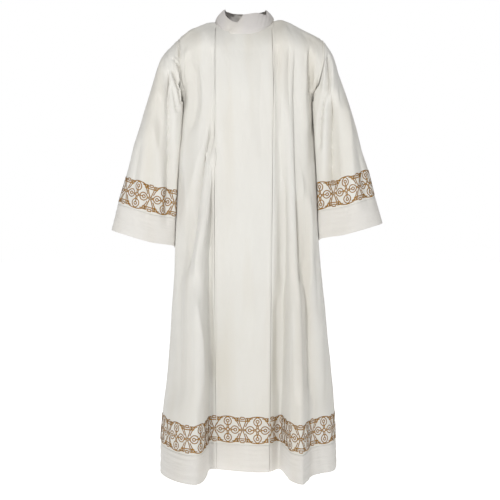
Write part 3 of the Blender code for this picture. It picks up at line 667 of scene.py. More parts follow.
def smooth(knots, values, at):
    """Smooth curve through values at the knots, read at each number in at."""
    knots = np.asarray(knots, float)
    values = np.asarray(values, float)
    if knots[0] > knots[-1]:
        knots = knots[::-1]
        values = values[::-1]
    slopes = smooth_slopes(knots, values)
    at = np.clip(np.asarray(at, float), knots[0], knots[-1])
    span = np.clip(np.searchsorted(knots, at, side="right") - 1, 0, len(knots) - 2)
    width = knots[span + 1] - knots[span]
    t = (at - knots[span]) / width
    extra = (1,) * (values.ndim - 1)
    t = np.reshape(t, np.shape(t) + extra)
    width = np.reshape(width, np.shape(width) + extra)
    return cubic(t, width, values[span], values[span + 1], slopes[span], slopes[span + 1])


def unit(vectors):
    """Vectors of length one."""
    length = np.linalg.norm(vectors, axis=-1, keepdims=True)
    return vectors / np.maximum(length, SHORTEST)


def ring_point(angle):
    """Point on the neckline. Angle 0 is the front, 90 the right side."""
    turn = math.radians(angle)
    across = math.sin(turn)
    forward = math.cos(turn)
    x = NECK_CENTRE_X + NECK_HALF_WIDTH * across
    z = NECK_SIDE_Z + NECK_SIDE_TILT * across
    if forward > 0:
        y = -NECK_FRONT_DEPTH * forward
        z -= NECK_FRONT_DIP * forward**NECK_DIP_POWER
    else:
        y = -NECK_BACK_DEPTH * forward
        z -= NECK_BACK_RISE * forward
    return np.array((x, y, z))


def ring_normal(angle):
    """Outward direction shared by the collar and the cloth that it is sewn to."""
    turn = math.radians(angle)
    lift = math.radians(RING_LIFT + RING_LIFT_SIDE * math.sin(turn) ** 2)
    flat = np.array((math.sin(turn), -math.cos(turn), 0.0))
    return flat * math.cos(lift) + UP * math.sin(lift)


def corner_angle(side):
    """Neckline angle at which the shoulder seam of this side starts."""
    return NECK_CORNER_LEFT if side == "left" else NECK_CORNER_RIGHT


def ridge_height(side, fraction):
    """Height of the shoulder line at a fraction of the way to the tip."""
    table = np.array(SHOULDER_LINE)
    return float(smooth(table[:, 0], table[:, SIDE_COLUMN[side]], fraction)) * MM


def armhole_half_height(side):
    """Half the height of the armhole."""
    return (TIP_Z[side] - UNDERARM_Z) / 2


def seam_forward(fraction):
    """How far in front of the shoulder line the shoulder seam lies."""
    tip = ARMHOLE_DEPTH * math.sin(math.radians(SEAM_ANGLE))
    return SEAM_FORWARD_NECK + (tip - SEAM_FORWARD_NECK) * fraction**SEAM_FORWARD_POWER


def seam_drop(side, fraction):
    """How far below the shoulder line the shoulder seam lies."""
    tip = armhole_half_height(side) * (1 - math.cos(math.radians(SEAM_ANGLE)))
    return SEAM_DROP_NECK + (tip - SEAM_DROP_NECK) * fraction


def shoulder_point(side, fraction):
    """Point on the shoulder seam."""
    corner = ring_point(corner_angle(side))
    x = corner[0] + (TIP_X[side] - corner[0]) * fraction
    y = -seam_forward(fraction)
    z = ridge_height(side, fraction) - seam_drop(side, fraction)
    start_z = ridge_height(side, 0.0) - seam_drop(side, 0.0)
    nearness = max(0.0, 1 - fraction / SEAM_NECK_SHARE)
    z += (corner[2] - start_z) * nearness
    return np.array((x, y, z))


def side_seam_x(side, z):
    """Distance of the side seam from the middle, signed, for each height."""
    table = np.array(SIDE_SEAMS) * MM
    return SIGN[side] * smooth(table[:, 0], table[:, SIDE_COLUMN[side]], z)


def armhole_line(side, z):
    """Share of the way down the armhole, and x of a straight line from its tip to the underarm."""
    part = np.clip((TIP_Z[side] - z) / (TIP_Z[side] - UNDERARM_Z), 0, 1)
    return part, TIP_X[side] + (UNDERARM_X[side] - TIP_X[side]) * part


def armhole_x(side, z):
    """Distance of the armhole edge from the middle, for heights above the underarm."""
    part, straight = armhole_line(side, z)
    return straight + ARMHOLE_BULGE[side] * np.sin(math.pi * part**BULGE_POWER)


def edge_x(side, z):
    """Edge of the body from shoulder tip to hem."""
    below = side_seam_x(side, z)
    reach = UNDERARM_X[side] - side_seam_x(side, UNDERARM_Z)
    below = below + reach * np.exp(-(((z - UNDERARM_Z) / CROTCH_REACH) ** 2))
    return np.where(z > UNDERARM_Z, armhole_x(side, z), below)


def edge_depth(side, z):
    """Depth of the armhole edge: full at its middle, nothing from the underarm down."""
    half = armhole_half_height(side)
    fall = np.clip((UNDERARM_Z + half - z) / half, 0, 1)
    return ARMHOLE_DEPTH * np.sqrt(1 - fall**2)


def row_fractions(is_front, weight):
    """Fractions of the way to the hem at which rows lie. Weight 0 is the left edge, 1 the right."""
    both = []
    for side in ("left", "right"):
        half = armhole_half_height(side)
        if is_front:
            start = math.cos(math.radians(SEAM_ANGLE))
            angles = np.linspace(SEAM_ANGLE, 180, FRONT_ARM_STEPS + 1)
        else:
            start = 1.0
            angles = np.linspace(0, 180, BACK_ARM_STEPS + 1)
        top = UNDERARM_Z + half + half * start
        upper = (start - np.cos(np.radians(angles))) * half / (top - HEM_Z)
        steps = (np.arange(1, BELOW_STEPS + 1) / BELOW_STEPS) ** BELOW_POWER
        lower = upper[-1] + (1 - upper[-1]) * steps
        both.append(np.concatenate([upper, lower]))
    return both[0] * (1 - weight) + both[1] * weight


def column_tops(folds, spans, is_front):
    """For each column: its place among the folds, top point, start angle and fall of its rounding."""
    columns = []
    for number in range(spans * (len(folds) - 1) + 1):
        place = number / spans
        index = min(int(place), len(folds) - 2)
        part = place - index
        first = folds[index]
        second = folds[index + 1]
        on_shoulder = first[2] is not None and second[2] is not None
        if on_shoulder:
            side = "left" if first[3] + second[3] < 0 else "right"
            fraction = first[2] + (second[2] - first[2]) * part
            top = shoulder_point(side, fraction)
            blend = min(1.0, fraction / SHOULDER_BLEND)
            start = SEAM_ANGLE if is_front else 0.0
            angle = RING_START_ANGLE + (start - RING_START_ANGLE) * blend
            full = armhole_half_height(side) * math.cos(math.radians(start))
            fall = RING_FALL + (full - RING_FALL) * blend
        else:
            side = None
            fraction = None
            bend = first[1] + (second[1] - first[1]) * part
            top = ring_point(bend)
            angle = RING_START_ANGLE
            fall = RING_FALL
        columns.append((index, part, side, fraction, top, angle, fall))
    return columns


def fold_readings(folds, z):
    """x and depth of every fold line at each height, with a ghost line beyond each end."""
    heights = np.array(SECTION_Z)
    x_rows = []
    depth_rows = []
    for fold in folds:
        table_x = np.array(fold[FOLD_X], float) * MM
        table_depth = np.array(fold[FOLD_DEPTH], float) * MM
        x = smooth(heights[1:], table_x, z)
        depth = smooth(heights, table_depth, z)
        if fold[0] == "side_seam":
            side = "left" if fold[3] < 0 else "right"
            x = edge_x(side, z)
            depth = edge_depth(side, z)
        x_rows.append(x)
        depth_rows.append(depth)
    for end, inward in ((0, 1), (-1, -2)):
        openness = depth_rows[end] / ARMHOLE_DEPTH
        if folds[end][0] != "side_seam":
            openness = 1.0
        x_line = 2 * x_rows[end] - x_rows[inward]
        depth_line = 2 * depth_rows[end] - depth_rows[inward]
        ghost_x = x_rows[inward] * (1 - openness) + x_line * openness
        ghost_depth = -depth_rows[inward] * (1 - openness) + depth_line * openness
        place = 0 if end == 0 else len(x_rows)
        x_rows.insert(place, ghost_x)
        depth_rows.insert(place, ghost_depth)
    return np.array(x_rows), np.array(depth_rows)


def fold_knots(folds):
    """Spacing of the fold lines along the hem, ghost lines included."""
    hem = np.array([(fold[FOLD_HEM_X], fold[FOLD_HEM_DEPTH]) for fold in folds], float)
    steps = np.sqrt(np.linalg.norm(np.diff(hem, axis=0), axis=1))
    steps = np.concatenate([steps[:1], steps, steps[-1:]])
    return np.concatenate([[0.0], np.cumsum(steps)])


def across(values, knots, index, part):
    """Smooth curve across the fold lines, in the span after line index."""
    i = index + 1
    before, here, after = np.diff(knots[i - 1 : i + 3])
    rise = [(values[k + 1] - values[k]) / (knots[k + 1] - knots[k]) for k in (i - 1, i, i + 1)]
    slope_start = (rise[0] * here + rise[1] * before) / (before + here)
    slope_end = (rise[1] * after + rise[2] * here) / (here + after)
    return cubic(part, here, values[i], values[i + 1], slope_start, slope_end)


def side_weight(x_hem):
    """0 at the left side of the hem, 1 at the right."""
    left = side_seam_x("left", HEM_Z)
    right = side_seam_x("right", HEM_Z)
    return float(np.clip((x_hem - left) / (right - left), 0, 1))


def body_sheet(folds, is_front, spans=COLUMNS_PER_SPAN):
    """Middle surface of one sheet of the body, as points[row, column]."""
    knots = fold_knots(folds)
    sign = -1 if is_front else 1
    result = []
    for index, part, side, fraction, top, start_angle, fall in column_tops(folds, spans, is_front):
        ends = [folds[k][FOLD_HEM_X] for k in (index, index + 1)]
        x_hem = (ends[0] + (ends[1] - ends[0]) * part) * MM
        fractions = row_fractions(is_front, side_weight(x_hem))
        on_shoulder = side is not None
        origin = top.copy()
        if on_shoulder and not is_front:
            origin[1] = 0.0
            origin[2] = ridge_height(side, fraction)
        shift = 0.0
        if not on_shoulder and not is_front:
            shift = BACK_STRIP_DROP
        z = origin[2] - shift + (HEM_Z - origin[2] + shift) * fractions
        if not is_front:
            strip = np.arange(BACK_STRIP_ROWS) / BACK_STRIP_ROWS
            z = np.concatenate([origin[2] - shift * strip, z])
        x_lines, depth_lines = fold_readings(folds, z)
        x_line = across(x_lines, knots, index, part)
        depth = across(depth_lines, knots, index, part)
        hanging = np.clip((origin[2] - z) / (origin[2] - SECTION_Z[1]), 0, 1)
        fade = 1 - hanging * hanging * (3 - 2 * hanging)
        x = x_line + (origin[0] - x_line[0]) * fade
        half_turn = math.cos(math.radians(start_angle))
        cosine = half_turn - (origin[2] - z) / (fall / half_turn)
        turn = np.sin(np.arccos(np.clip(cosine, 0, 1)))
        turn = np.where(cosine <= 0, 1.0, turn)
        begin = math.sin(math.radians(start_angle))
        growth = np.clip((turn - begin) / (1 - begin), 0, 1)
        top_depth = sign * origin[1]
        y = sign * (top_depth + (depth - top_depth) * growth)
        if on_shoulder and not is_front:
            turned = np.arange(BACK_STRIP_ROWS, 0, -1) / BACK_STRIP_ROWS
            near_neck = max(0.0, 1 - fraction / SHOULDER_BLEND)
            x[:BACK_STRIP_ROWS] = top[0] + SIGN[side] * NECK_SPREAD * near_neck * (1 - turned)
            y[:BACK_STRIP_ROWS] = top[1] * turned
            z[:BACK_STRIP_ROWS] = origin[2] + (top[2] - origin[2]) * turned**STRIP_POWER
        if on_shoulder and fraction == 1.0:
            x = edge_x(side, z)
        result.append(np.stack([x, y, z], axis=-1))
    return np.stack(result, axis=1)


def grid_normals(points, closed=False, flip=False):
    """Direction square to the sheet at each point."""
    if closed:
        along = np.roll(points, -1, axis=1) - np.roll(points, 1, axis=1)
    else:
        along = np.gradient(points, axis=1)
    down = np.gradient(points, axis=0)
    normals = unit(np.cross(along, down))
    return -normals if flip else normals


def rim_loops(rows, columns, closed):
    """Point numbers round each free rim of a grid, in order."""
    number = np.arange(rows * columns).reshape(rows, columns)
    if closed:
        return [list(number[0]), list(number[-1])[::-1]]
    rim = list(number[0, :-1]) + list(number[:-1, -1])
    rim += list(number[-1, :0:-1]) + list(number[:0:-1, 0])
    return [rim]


def superellipse(cosine, sine):
    """Point on an oval that is a little squarer than an ellipse."""
    power = 2 / SLEEVE_POWER
    return (
        np.sign(cosine) * np.abs(cosine) ** power,
        np.sign(sine) * np.abs(sine) ** power,
    )


def sleeve_fold_height(side, ring, angles):
    """How far the folds push the sleeve out at one ring, for each angle."""
    height = np.zeros_like(angles)
    for first, last, start, end, half_width, size in SLEEVE_FOLDS[side]:
        along = (ring - first) / (last - first)
        if not 0 < along < FOLD_RUN_OUT:
            continue
        centre = start + (end - start) * min(along, 1.0)
        away = (angles - centre + 180) % 360 - 180
        swell = math.sin(math.pi / 2 * min(along / FOLD_PEAK, 1.0))
        height += size * MM * swell * np.exp(-((away / half_width) ** 2) * 2)
    return height


def sleeve_angles():
    """Angle of each sleeve column, from the shoulder line round by the front."""
    strip = np.arange(BACK_STRIP_ROWS) * SEAM_ANGLE / BACK_STRIP_ROWS
    front = np.linspace(SEAM_ANGLE, 180, FRONT_ARM_STEPS + 1)
    back = np.linspace(180, 360, BACK_ARM_STEPS + 1)[1:-1]
    return np.concatenate([strip, front, back])


def armhole_loop(front, back, front_column, back_column):
    """The armhole edge of front and back as one loop of points, in sleeve order."""
    underarm = BACK_STRIP_ROWS + BACK_ARM_STEPS
    strip = back[BACK_STRIP_ROWS:0:-1, back_column]
    front_part = front[: FRONT_ARM_STEPS + 1, front_column]
    back_part = back[underarm - 1 : BACK_STRIP_ROWS : -1, back_column]
    return np.concatenate([strip, front_part, back_part])


def armhole_bow(side, loop):
    """How far the armhole lies to one side of a straight line from tip to underarm."""
    return loop[:, 0] - armhole_line(side, loop[:, 2])[1]


def sleeve_grid(side, loop):
    """Middle surface of a sleeve: the armhole loop, then oval rings down to the cuff."""
    angles = sleeve_angles()
    cosine, sine = superellipse(np.cos(np.radians(angles)), np.sin(np.radians(angles)))
    rings = [loop]
    for number, row in enumerate(np.array(SLEEVE_RINGS[side], float) * MM):
        outer_x, outer_z, inner_x, inner_z, in_front, behind = row
        outer = np.array((outer_x, 0.0, outer_z))
        inner = np.array((inner_x, 0.0, inner_z))
        centre = (outer + inner) / 2
        arm = (outer - inner) / 2
        depth = np.where(sine > 0, in_front, behind)
        push = sleeve_fold_height(side, number + 1, angles)
        half = np.linalg.norm(arm)
        reach = 1 + push / half
        ring = centre + np.outer(cosine * reach, arm)
        ring[:, 1] = -(depth + push) * sine
        fade = max(0.0, 1 - (number + 1) / ARMHOLE_FADE_RINGS) ** 2
        ring[:, 0] += armhole_bow(side, loop) * fade
        rings.append(ring)
    return np.stack(rings)


def collar_grid():
    """Middle surface of the collar band, wound a little over once round the neck."""
    table = np.array(COLLAR_RIM, float)
    rows = []
    for row in range(COLLAR_ROWS + 1):
        level = row / COLLAR_ROWS
        end = COLLAR_END_BASE + (COLLAR_END_RIM - COLLAR_END_BASE) * level
        line = []
        for column in range(COLLAR_COLUMNS + 1):
            wound = column / COLLAR_COLUMNS
            angle = COLLAR_START + (end - COLLAR_START) * wound
            base = ring_point(angle)
            rim = float(smooth(table[:, 0], table[:, 1], max(angle, COLLAR_END_RIM))) * MM
            height = (rim - base[2]) * level
            turn = math.radians(angle)
            facing = math.cos(turn)
            forward = max(facing, 0.0)
            backward = max(-facing, 0.0)
            reach = COLLAR_REACH_SIDE + (COLLAR_REACH_FRONT - COLLAR_REACH_SIDE) * forward
            lean = COLLAR_LEAN_SIDE + (COLLAR_LEAN_BACK - COLLAR_LEAN_SIDE) * backward**2
            inward = lean * (height / reach) ** COLLAR_LEAN_POWER
            inward -= COLLAR_WINDING * (2 * wound - 1)
            flat = np.array((math.sin(turn), -math.cos(turn), 0.0))
            outward = ring_normal(angle)
            gap = unit(UP - outward * outward[2]) * NECK_GAP
            line.append(base - flat * inward + gap + UP * height)
        rows.append(line)
    return np.array(rows)


def soft_step(part):
    """0 to 1 as the part goes from 0 to 1, with no corner at either end."""
    part = np.clip(part, 0, 1)
    return part * part * (3 - 2 * part)


def bell(values, centre, width):
    """1 at the centre, falling off smoothly on both sides."""
    return np.exp(-(((values - centre) / width) ** 2))


def arc(line):
    """Length along a line of points, from its start."""
    steps = np.linalg.norm(np.diff(line, axis=0), axis=1)
    return np.concatenate([[0.0], np.cumsum(steps)])


def read_at(at, known, values):
    """Rows of values at places between the known ones."""
    return np.stack([np.interp(at, known, column) for column in values.T], -1)


def from_edge(points, edge):
    """Length along the cloth from one edge of a grid: its top, rim, first or last column."""
    axis = 0 if edge in ("top", "rim") else 1
    steps = np.linalg.norm(np.diff(points, axis=axis), axis=-1)
    zero = np.zeros_like(np.take(steps, [0], axis=axis))
    length = np.concatenate([zero, np.cumsum(steps, axis=axis)], axis=axis)
    if edge in ("last", "rim"):
        length = np.take(length, [-1], axis=axis) - length
    return length


def from_sides(points):
    """Length along the cloth from the nearer of its two side edges."""
    return np.minimum(from_edge(points, "first"), from_edge(points, "last"))


def closed_up(values):
    """A grid with its first column again after its last."""
    return np.concatenate([values, values[:, :1]], axis=1)


def distance_to_path(x, z, path):
    """Signed distance of each point from a path seen from the front, and the share of the path passed."""
    points = np.reshape(path, (-1, 2)) * MM
    starts = arc(points)
    lengths = np.diff(starts)
    best = np.full(x.shape, np.inf)
    signed = np.zeros(x.shape)
    along = np.zeros(x.shape)
    for k, length in enumerate(lengths):
        step = (points[k + 1] - points[k]) / length
        px = x - points[k, 0]
        pz = z - points[k, 1]
        low = -length if k == 0 else 0.0
        high = 2 * length if k == len(lengths) - 1 else length
        t = np.clip(px * step[0] + pz * step[1], low, high)
        away = np.hypot(px - t * step[0], pz - t * step[1])
        nearer = away < best
        best = np.where(nearer, away, best)
        signed = np.where(nearer, away * np.sign(px * step[1] - pz * step[0]), signed)
        along = np.where(nearer, (starts[k] + t) / starts[-1], along)
    return signed, along


def crease_heights(points, normals, creases, facing):
    """Height that the creases give each point, on the cloth that faces one way."""
    height = np.zeros(points.shape[:2])
    seen = np.clip(normals[..., 1] * facing * FACING_GAIN, 0, 1)
    for number, (half_width, size, *path) in enumerate(creases):
        away, along = distance_to_path(points[..., 0], points[..., 2], path)
        ends = np.clip(along / CREASE_END_SHARE, 0, 1) * np.clip((1 - along) / CREASE_END_SHARE, 0, 1)
        widening = CREASE_WIDTH_START + CREASE_WIDTH_GROWTH * np.clip(along, 0, 1)
        t = away / (half_width * MM * widening)
        lean = CREASE_LEAN if number % 2 else -CREASE_LEAN
        profile = np.exp(-(np.abs(t) ** CREASE_POWER))
        profile *= 1 + lean * np.clip(t, -CREASE_LEAN_REACH, CREASE_LEAN_REACH)
        profile -= CREASE_BANK * bell(np.abs(t), CREASE_BANK_PLACE, 1)
        height += CREASE_GAIN * size * MM * profile * soft_step(ends) * seen
    return height


def drape_heights(points, seed):
    """Soft uneven waves, different for each piece."""
    rng = np.random.default_rng(seed)
    x = points[..., 0] + DRAPE_DEPTH_SHARE * points[..., 1]
    z = points[..., 2]
    height = np.zeros(points.shape[:2])
    for size, across_waves, down_waves in DRAPE_WAVES:
        phase, phase_two = rng.uniform(0, 2 * math.pi, 2)
        bend = DRAPE_BEND * np.sin(2 * math.pi * z * DRAPE_BEND_WAVES + phase_two)
        wave = np.sin(2 * math.pi * (across_waves * x + down_waves * z) + phase + bend)
        change = DRAPE_EVEN + DRAPE_UNEVEN * np.sin(DRAPE_CHANGE * z * down_waves + phase_two)
        height += size * MM * wave * change
    return height


def wrinkle_heights(points, above, seed):
    """Fine wrinkles running along the turned hem, by height above the rim."""
    rng = np.random.default_rng(seed)
    x = points[..., 0] + WRINKLE_DEPTH_SHARE * points[..., 1]
    inside = np.clip(above / WRINKLE_FADE, 0, 1) * np.clip((HEM_DEPTH - above) / WRINKLE_FADE, 0, 1)
    total = np.zeros(points.shape[:2])
    for size, across_waves, down_waves in HEM_WRINKLES:
        phase, phase_two = rng.uniform(0, 2 * math.pi, 2)
        patch = np.clip(np.sin(2 * math.pi * WRINKLE_PATCH_WAVES * x + phase_two), 0, 1)
        wave = np.sin(2 * math.pi * (down_waves * above + across_waves * x) + phase)
        total += size * MM * patch * wave
    return total * inside


def edge_mask(points, edges):
    """0 at the sewn edges, 1 away from them."""
    mask = np.ones(points.shape[:2])
    for edge in edges:
        mask *= soft_step(from_edge(points, edge) / EDGE_FADE)
    return mask


def seam_groove(points, edges, ridge):
    """The cloth dips towards a sewn edge."""
    height = np.zeros(points.shape[:2])
    for edge in edges:
        height -= GROOVE_DEPTH * bell(from_edge(points, edge), GROOVE_PLACE, GROOVE_WIDTH)
    if ridge:
        rise = RIDGE_HEIGHT * np.clip((from_sides(points) - RIDGE_START) / RIDGE_RUN_IN, 0, 1)
        height += rise * bell(from_edge(points, "top"), RIDGE_PLACE, RIDGE_WIDTH)
    return height


def armhole_step(points):
    """A sleeve lies a little under the edge of the body at the armhole."""
    angles = finer_angles()
    share = sum(part * bell(angles, centre, width) for centre, width, part in STEP_PLACES)
    return -STEP_DEPTH * np.exp(-from_edge(points, "top") / STEP_REACH) * share


def finer_round(grid, times):
    """A closed grid with more columns, on smooth curves round it."""
    wide = np.concatenate([grid[:, -SLEEVE_WRAP:], grid, grid[:, : SLEEVE_WRAP + 1]], axis=1)
    at = np.arange(grid.shape[1] * times) / times + SLEEVE_WRAP
    return np.moveaxis(smooth(np.arange(wide.shape[1]), np.moveaxis(wide, 1, 0), at), 0, 1)


def finer_angles():
    """Angle of each column of a finer sleeve."""
    angles = sleeve_angles()
    at = np.arange(len(angles) * SLEEVE_FINER) / SLEEVE_FINER
    return np.interp(at, np.arange(len(angles) + 1), np.append(angles, 360.0))


def creased(name, points):
    """The cloth with its creases, waves and wrinkles, and its new directions."""
    closed, flip, edges, seed, facing = SHEETS[name]
    normals = grid_normals(points, closed, flip)
    above = from_edge(points, "rim")
    height = crease_heights(points, normals, CREASES[name], facing)
    height += crease_heights(points, normals, SLEEVE_BACK_CREASES.get(name, ()), 1)
    height += drape_heights(points, seed)
    height += wrinkle_heights(points, above, seed + WRINKLE_SEED)
    height -= HEM_LINE_DEPTH * bell(above, HEM_DEPTH, HEM_LINE_WIDTH)
    height *= edge_mask(points, edges)
    if name != "front_centre_panel":
        height += seam_groove(points, edges, "side" in name)
    if closed:
        height += armhole_step(points)
    points = points + normals * height[..., None]
    return points, grid_normals(points, closed, flip)


def settled(points):
    """The cloth a little lower on the shoulders, where the photograph shows it."""
    moved = points.copy()
    moved[..., 2] -= SETTLE_DROP * soft_step((points[..., 2] - SETTLE_FROM) / SETTLE_RISE)
    return moved


def fitted_collar(points):
    """The collar's rim drawn in and down, and its front seam let down, as in the photograph."""
    rows, columns = points.shape[:2]
    points = points.copy()
    up = np.linspace(0, 1, rows)[:, None] ** COLLAR_RISE_POWER
    low = np.linspace(1, 0, rows)[:, None]
    for column in range(columns):
        angle = COLLAR_START + (COLLAR_END_BASE - COLLAR_START) * column / (columns - 1)
        share = max(math.cos(math.radians(angle)), 0.0) ** 2
        outward = ring_normal(angle)
        above = unit(UP - outward * outward[2])
        points[:, column] += (outward * COLLAR_SEAM_OUT - above * COLLAR_SEAM_DROP) * share * low
    front = np.clip((points[..., 1].mean() - points[..., 1]) / COLLAR_FRONT_REACH, 0, 1)
    points[..., 0] += (COLLAR_MIDDLE - points[..., 0]) * COLLAR_DRAW_IN * up
    points[..., 2] -= (COLLAR_DROP + COLLAR_FRONT_DROP * front) * up
    inward = unit((points[0].mean(axis=0) - points[0]) * (1, 1, 0))
    points[0] += inward * COLLAR_TUCK_IN - UP * COLLAR_TUCK_DOWN
    z = points[..., 2]
    cap = z.max() - COLLAR_CAP
    points[..., 2] = np.where(z > cap, cap + COLLAR_CAP_SHARE * (z - cap), z)
    return points


def collar_waves(table, around, up):
    """Sum of the table's waves round the collar."""
    return sum(size * np.sin(around * waves + turn * up + phase) for size, waves, turn, phase in table)


def collar_creases(points):
    """The collar with small wrinkles, strongest inside at the back, and its directions."""
    rows, columns = points.shape[:2]
    around = np.linspace(0, 1, columns)[None, :]
    up = np.linspace(0, 1, rows)[:, None]
    behind = COLLAR_BACK_HEIGHT * collar_waves(COLLAR_BACK_WAVES, around, up)
    height = behind * bell(around, *COLLAR_BACK_PLACE) * up * (1 - COLLAR_RIM_CALM * up**COLLAR_RIM_POWER)
    height += collar_waves(COLLAR_END_WAVES, around, up) * bell(around, *COLLAR_END_PLACE) * up
    height += collar_waves(COLLAR_ALL_WAVES, around, up)
    height *= np.clip(up * COLLAR_FOOT_RISE, 0, 1)
    points = points + grid_normals(points, flip=True) * height[..., None]
    return points, grid_normals(points, flip=True)


def soften_back(back):
    """The back without a step below each end of its neckline."""
    even = back.copy()
    corners = [k * COLUMNS_PER_SPAN for k, row in enumerate(BACK_FOLDS) if row[0] == "neck_corner"]
    for row in range(SOFTEN_START, len(back)):
        x, y, z = back[row].T
        ramp = min(1.0, (row - SOFTEN_START) / SOFTEN_RAMP)
        for corner in corners:
            near = np.interp(x[corner] - SOFTEN_REACH, x, y)
            far = np.interp(x[corner] + SOFTEN_REACH, x, y)
            t = np.clip((x - x[corner]) / SOFTEN_REACH, -1, 1)
            share = (1 - t * t) ** 2 * ramp * np.clip((z - SOFTEN_END_Z) / SOFTEN_END_FADE, 0, 1)
            even[row, :, 1] += share * (near + (far - near) * (t + 1) / 2 - y)
    return even


def tuck_under(side_points, panel, panel_normals, on_left):
    """Lay the inner edge of a side front under the centre panel."""
    spans = COLUMNS_PER_SPAN
    edge, end, turn = (-1 - spans, 0, 1) if on_left else (spans, -1, -1)
    for step in range(spans + 1):
        place = step / spans * UNDERLAP_SHARE * PANEL_COLUMNS_PER_SPAN
        if not on_left:
            place = panel.shape[1] - 1 - place
        low = min(math.floor(place), panel.shape[1] - 2)
        rest = place - low
        under = panel[:, low] * (1 - rest) + panel[:, low + 1] * rest
        facing = unit(panel_normals[:, low] * (1 - rest) + panel_normals[:, low + 1] * rest)
        side_points[:, edge + turn * step] = under - facing * UNDERLAP_DEPTH
    for step in range(1, spans):
        share = (1 - step / spans) ** TUCK_POWER
        side_points[:, edge - turn * step] -= panel_normals[:, end] * UNDERLAP_DEPTH * share


def body_grids():
    """The left front, centre panel, right front and back."""
    left = body_sheet(FRONT_LEFT_FOLDS, True)
    panel = body_sheet(PANEL_FOLDS, True, PANEL_COLUMNS_PER_SPAN)
    right = body_sheet(FRONT_RIGHT_FOLDS, True)
    panel_normals = grid_normals(panel, flip=True)
    tuck_under(left, panel, panel_normals, True)
    tuck_under(right, panel, panel_normals, False)
    keep = COLUMNS_PER_SPAN // 2
    return left[:, :-keep], panel, right[:, keep:], soften_back(body_sheet(BACK_FOLDS, False))


def beside_body(front, side, grid):
    """Where the inner wall of a sleeve lies beside the body, front and side seam."""
    edge = front if side == "left" else front[:, ::-1]
    near = edge[:, : BESIDE_SPANS * COLUMNS_PER_SPAN]
    target = side_seam_x(side, grid[..., 2])
    heights = near[::-1, 0, 2]
    for place in np.ndindex(grid.shape[:2]):
        y, z = grid[place][1:]
        if y >= near[-1, 0, 1]:
            continue
        level = len(heights) - 1 - min(int(np.searchsorted(heights, z)), len(heights) - 1)
        line = near[level]
        first = int(np.argmin(line[:, 1]))
        if first > 0:
            target[place] = np.interp(-y, -line[: first + 1, 1], line[: first + 1, 0])
    return target + (-INNER_CLEARANCE if side == "left" else INNER_CLEARANCE)


def sleeve_fitted(side, front, loop):
    """A sleeve's grid, its inner wall laid beside the body, with finer columns."""
    rings = np.arange(len(SLEEVE_RINGS[side]) + 1)
    places = rings[-1] * np.linspace(0, 1, SLEEVE_ROWS + 1) ** SLEEVE_ROW_POWER
    grid = smooth(rings, sleeve_grid(side, loop), places)
    angles = sleeve_angles()
    behind = bell(angles, INNER_FILL_ANGLE, INNER_FILL_BACK)
    before = soft_step((angles - INNER_FILL_START) / INNER_FILL_FRONT)
    inner = np.where(angles > INNER_FILL_ANGLE, behind, before)
    weight = np.outer(soft_step((places - INNER_FILL_RING) / INNER_FILL_RINGS), inner)
    grid[..., 0] += weight * (beside_body(front, side, grid) - grid[..., 0])
    return finer_round(grid, SLEEVE_FINER)


def all_sheets():
    """Every cloth as its points and directions, by node name."""
    left, panel, right, back = body_grids()
    left_sleeve = sleeve_fitted("left", left, armhole_loop(left, back, 0, 0))
    right_sleeve = sleeve_fitted("right", right, armhole_loop(right, back, -1, -1))
    grids = (left, right, panel, back, left_sleeve, right_sleeve)
    sheets = {name: creased(name, settled(grid)) for name, grid in zip(SHEETS, grids)}
    sheets["collar_band"] = collar_creases(settled(fitted_collar(collar_grid())))
    return sheets


def feed(tree, node, inputs):
    """Give a node its inputs: outputs of other nodes, or constants."""
    for name, value in inputs.items():
        if isinstance(value, bpy.types.NodeSocket):
            tree.links.new(value, node.inputs[name])
        else:
            node.inputs[name].default_value = value


def add_node(tree, kind, inputs, output, **settings):
    """Add a node and return one of its outputs."""
    node = tree.nodes.new("ShaderNode" + kind)
    for name, value in settings.items():
        setattr(node, name, value)
    feed(tree, node, inputs)
    return node.outputs[output]


def mix(tree, share, first, second, **settings):
    """Blend of two colours."""
    inputs = {"Factor": share, "A": first, "B": second}
    return add_node(tree, "Mix", inputs, "Result", data_type="RGBA", **settings)


def product(tree, first, second):
    """Product of two values."""
    return add_node(tree, "Math", {0: first, 1: second}, "Value", operation="MULTIPLY")


def noise(tree, place, scale, detail):
    """Soft noise. A scale of three numbers stretches it."""
    if isinstance(scale, tuple):
        place = add_node(tree, "Mapping", {"Vector": place, "Scale": scale}, "Vector")
        scale = 1.0
    return add_node(tree, "TexNoise", {"Vector": place, "Scale": scale, "Detail": detail}, "Fac")


def new_material(name):
    """A material, its nodes and its shader."""
    material = bpy.data.materials.new(name)
    material.use_nodes = True
    return material, material.node_tree, material.node_tree.nodes["Principled BSDF"]


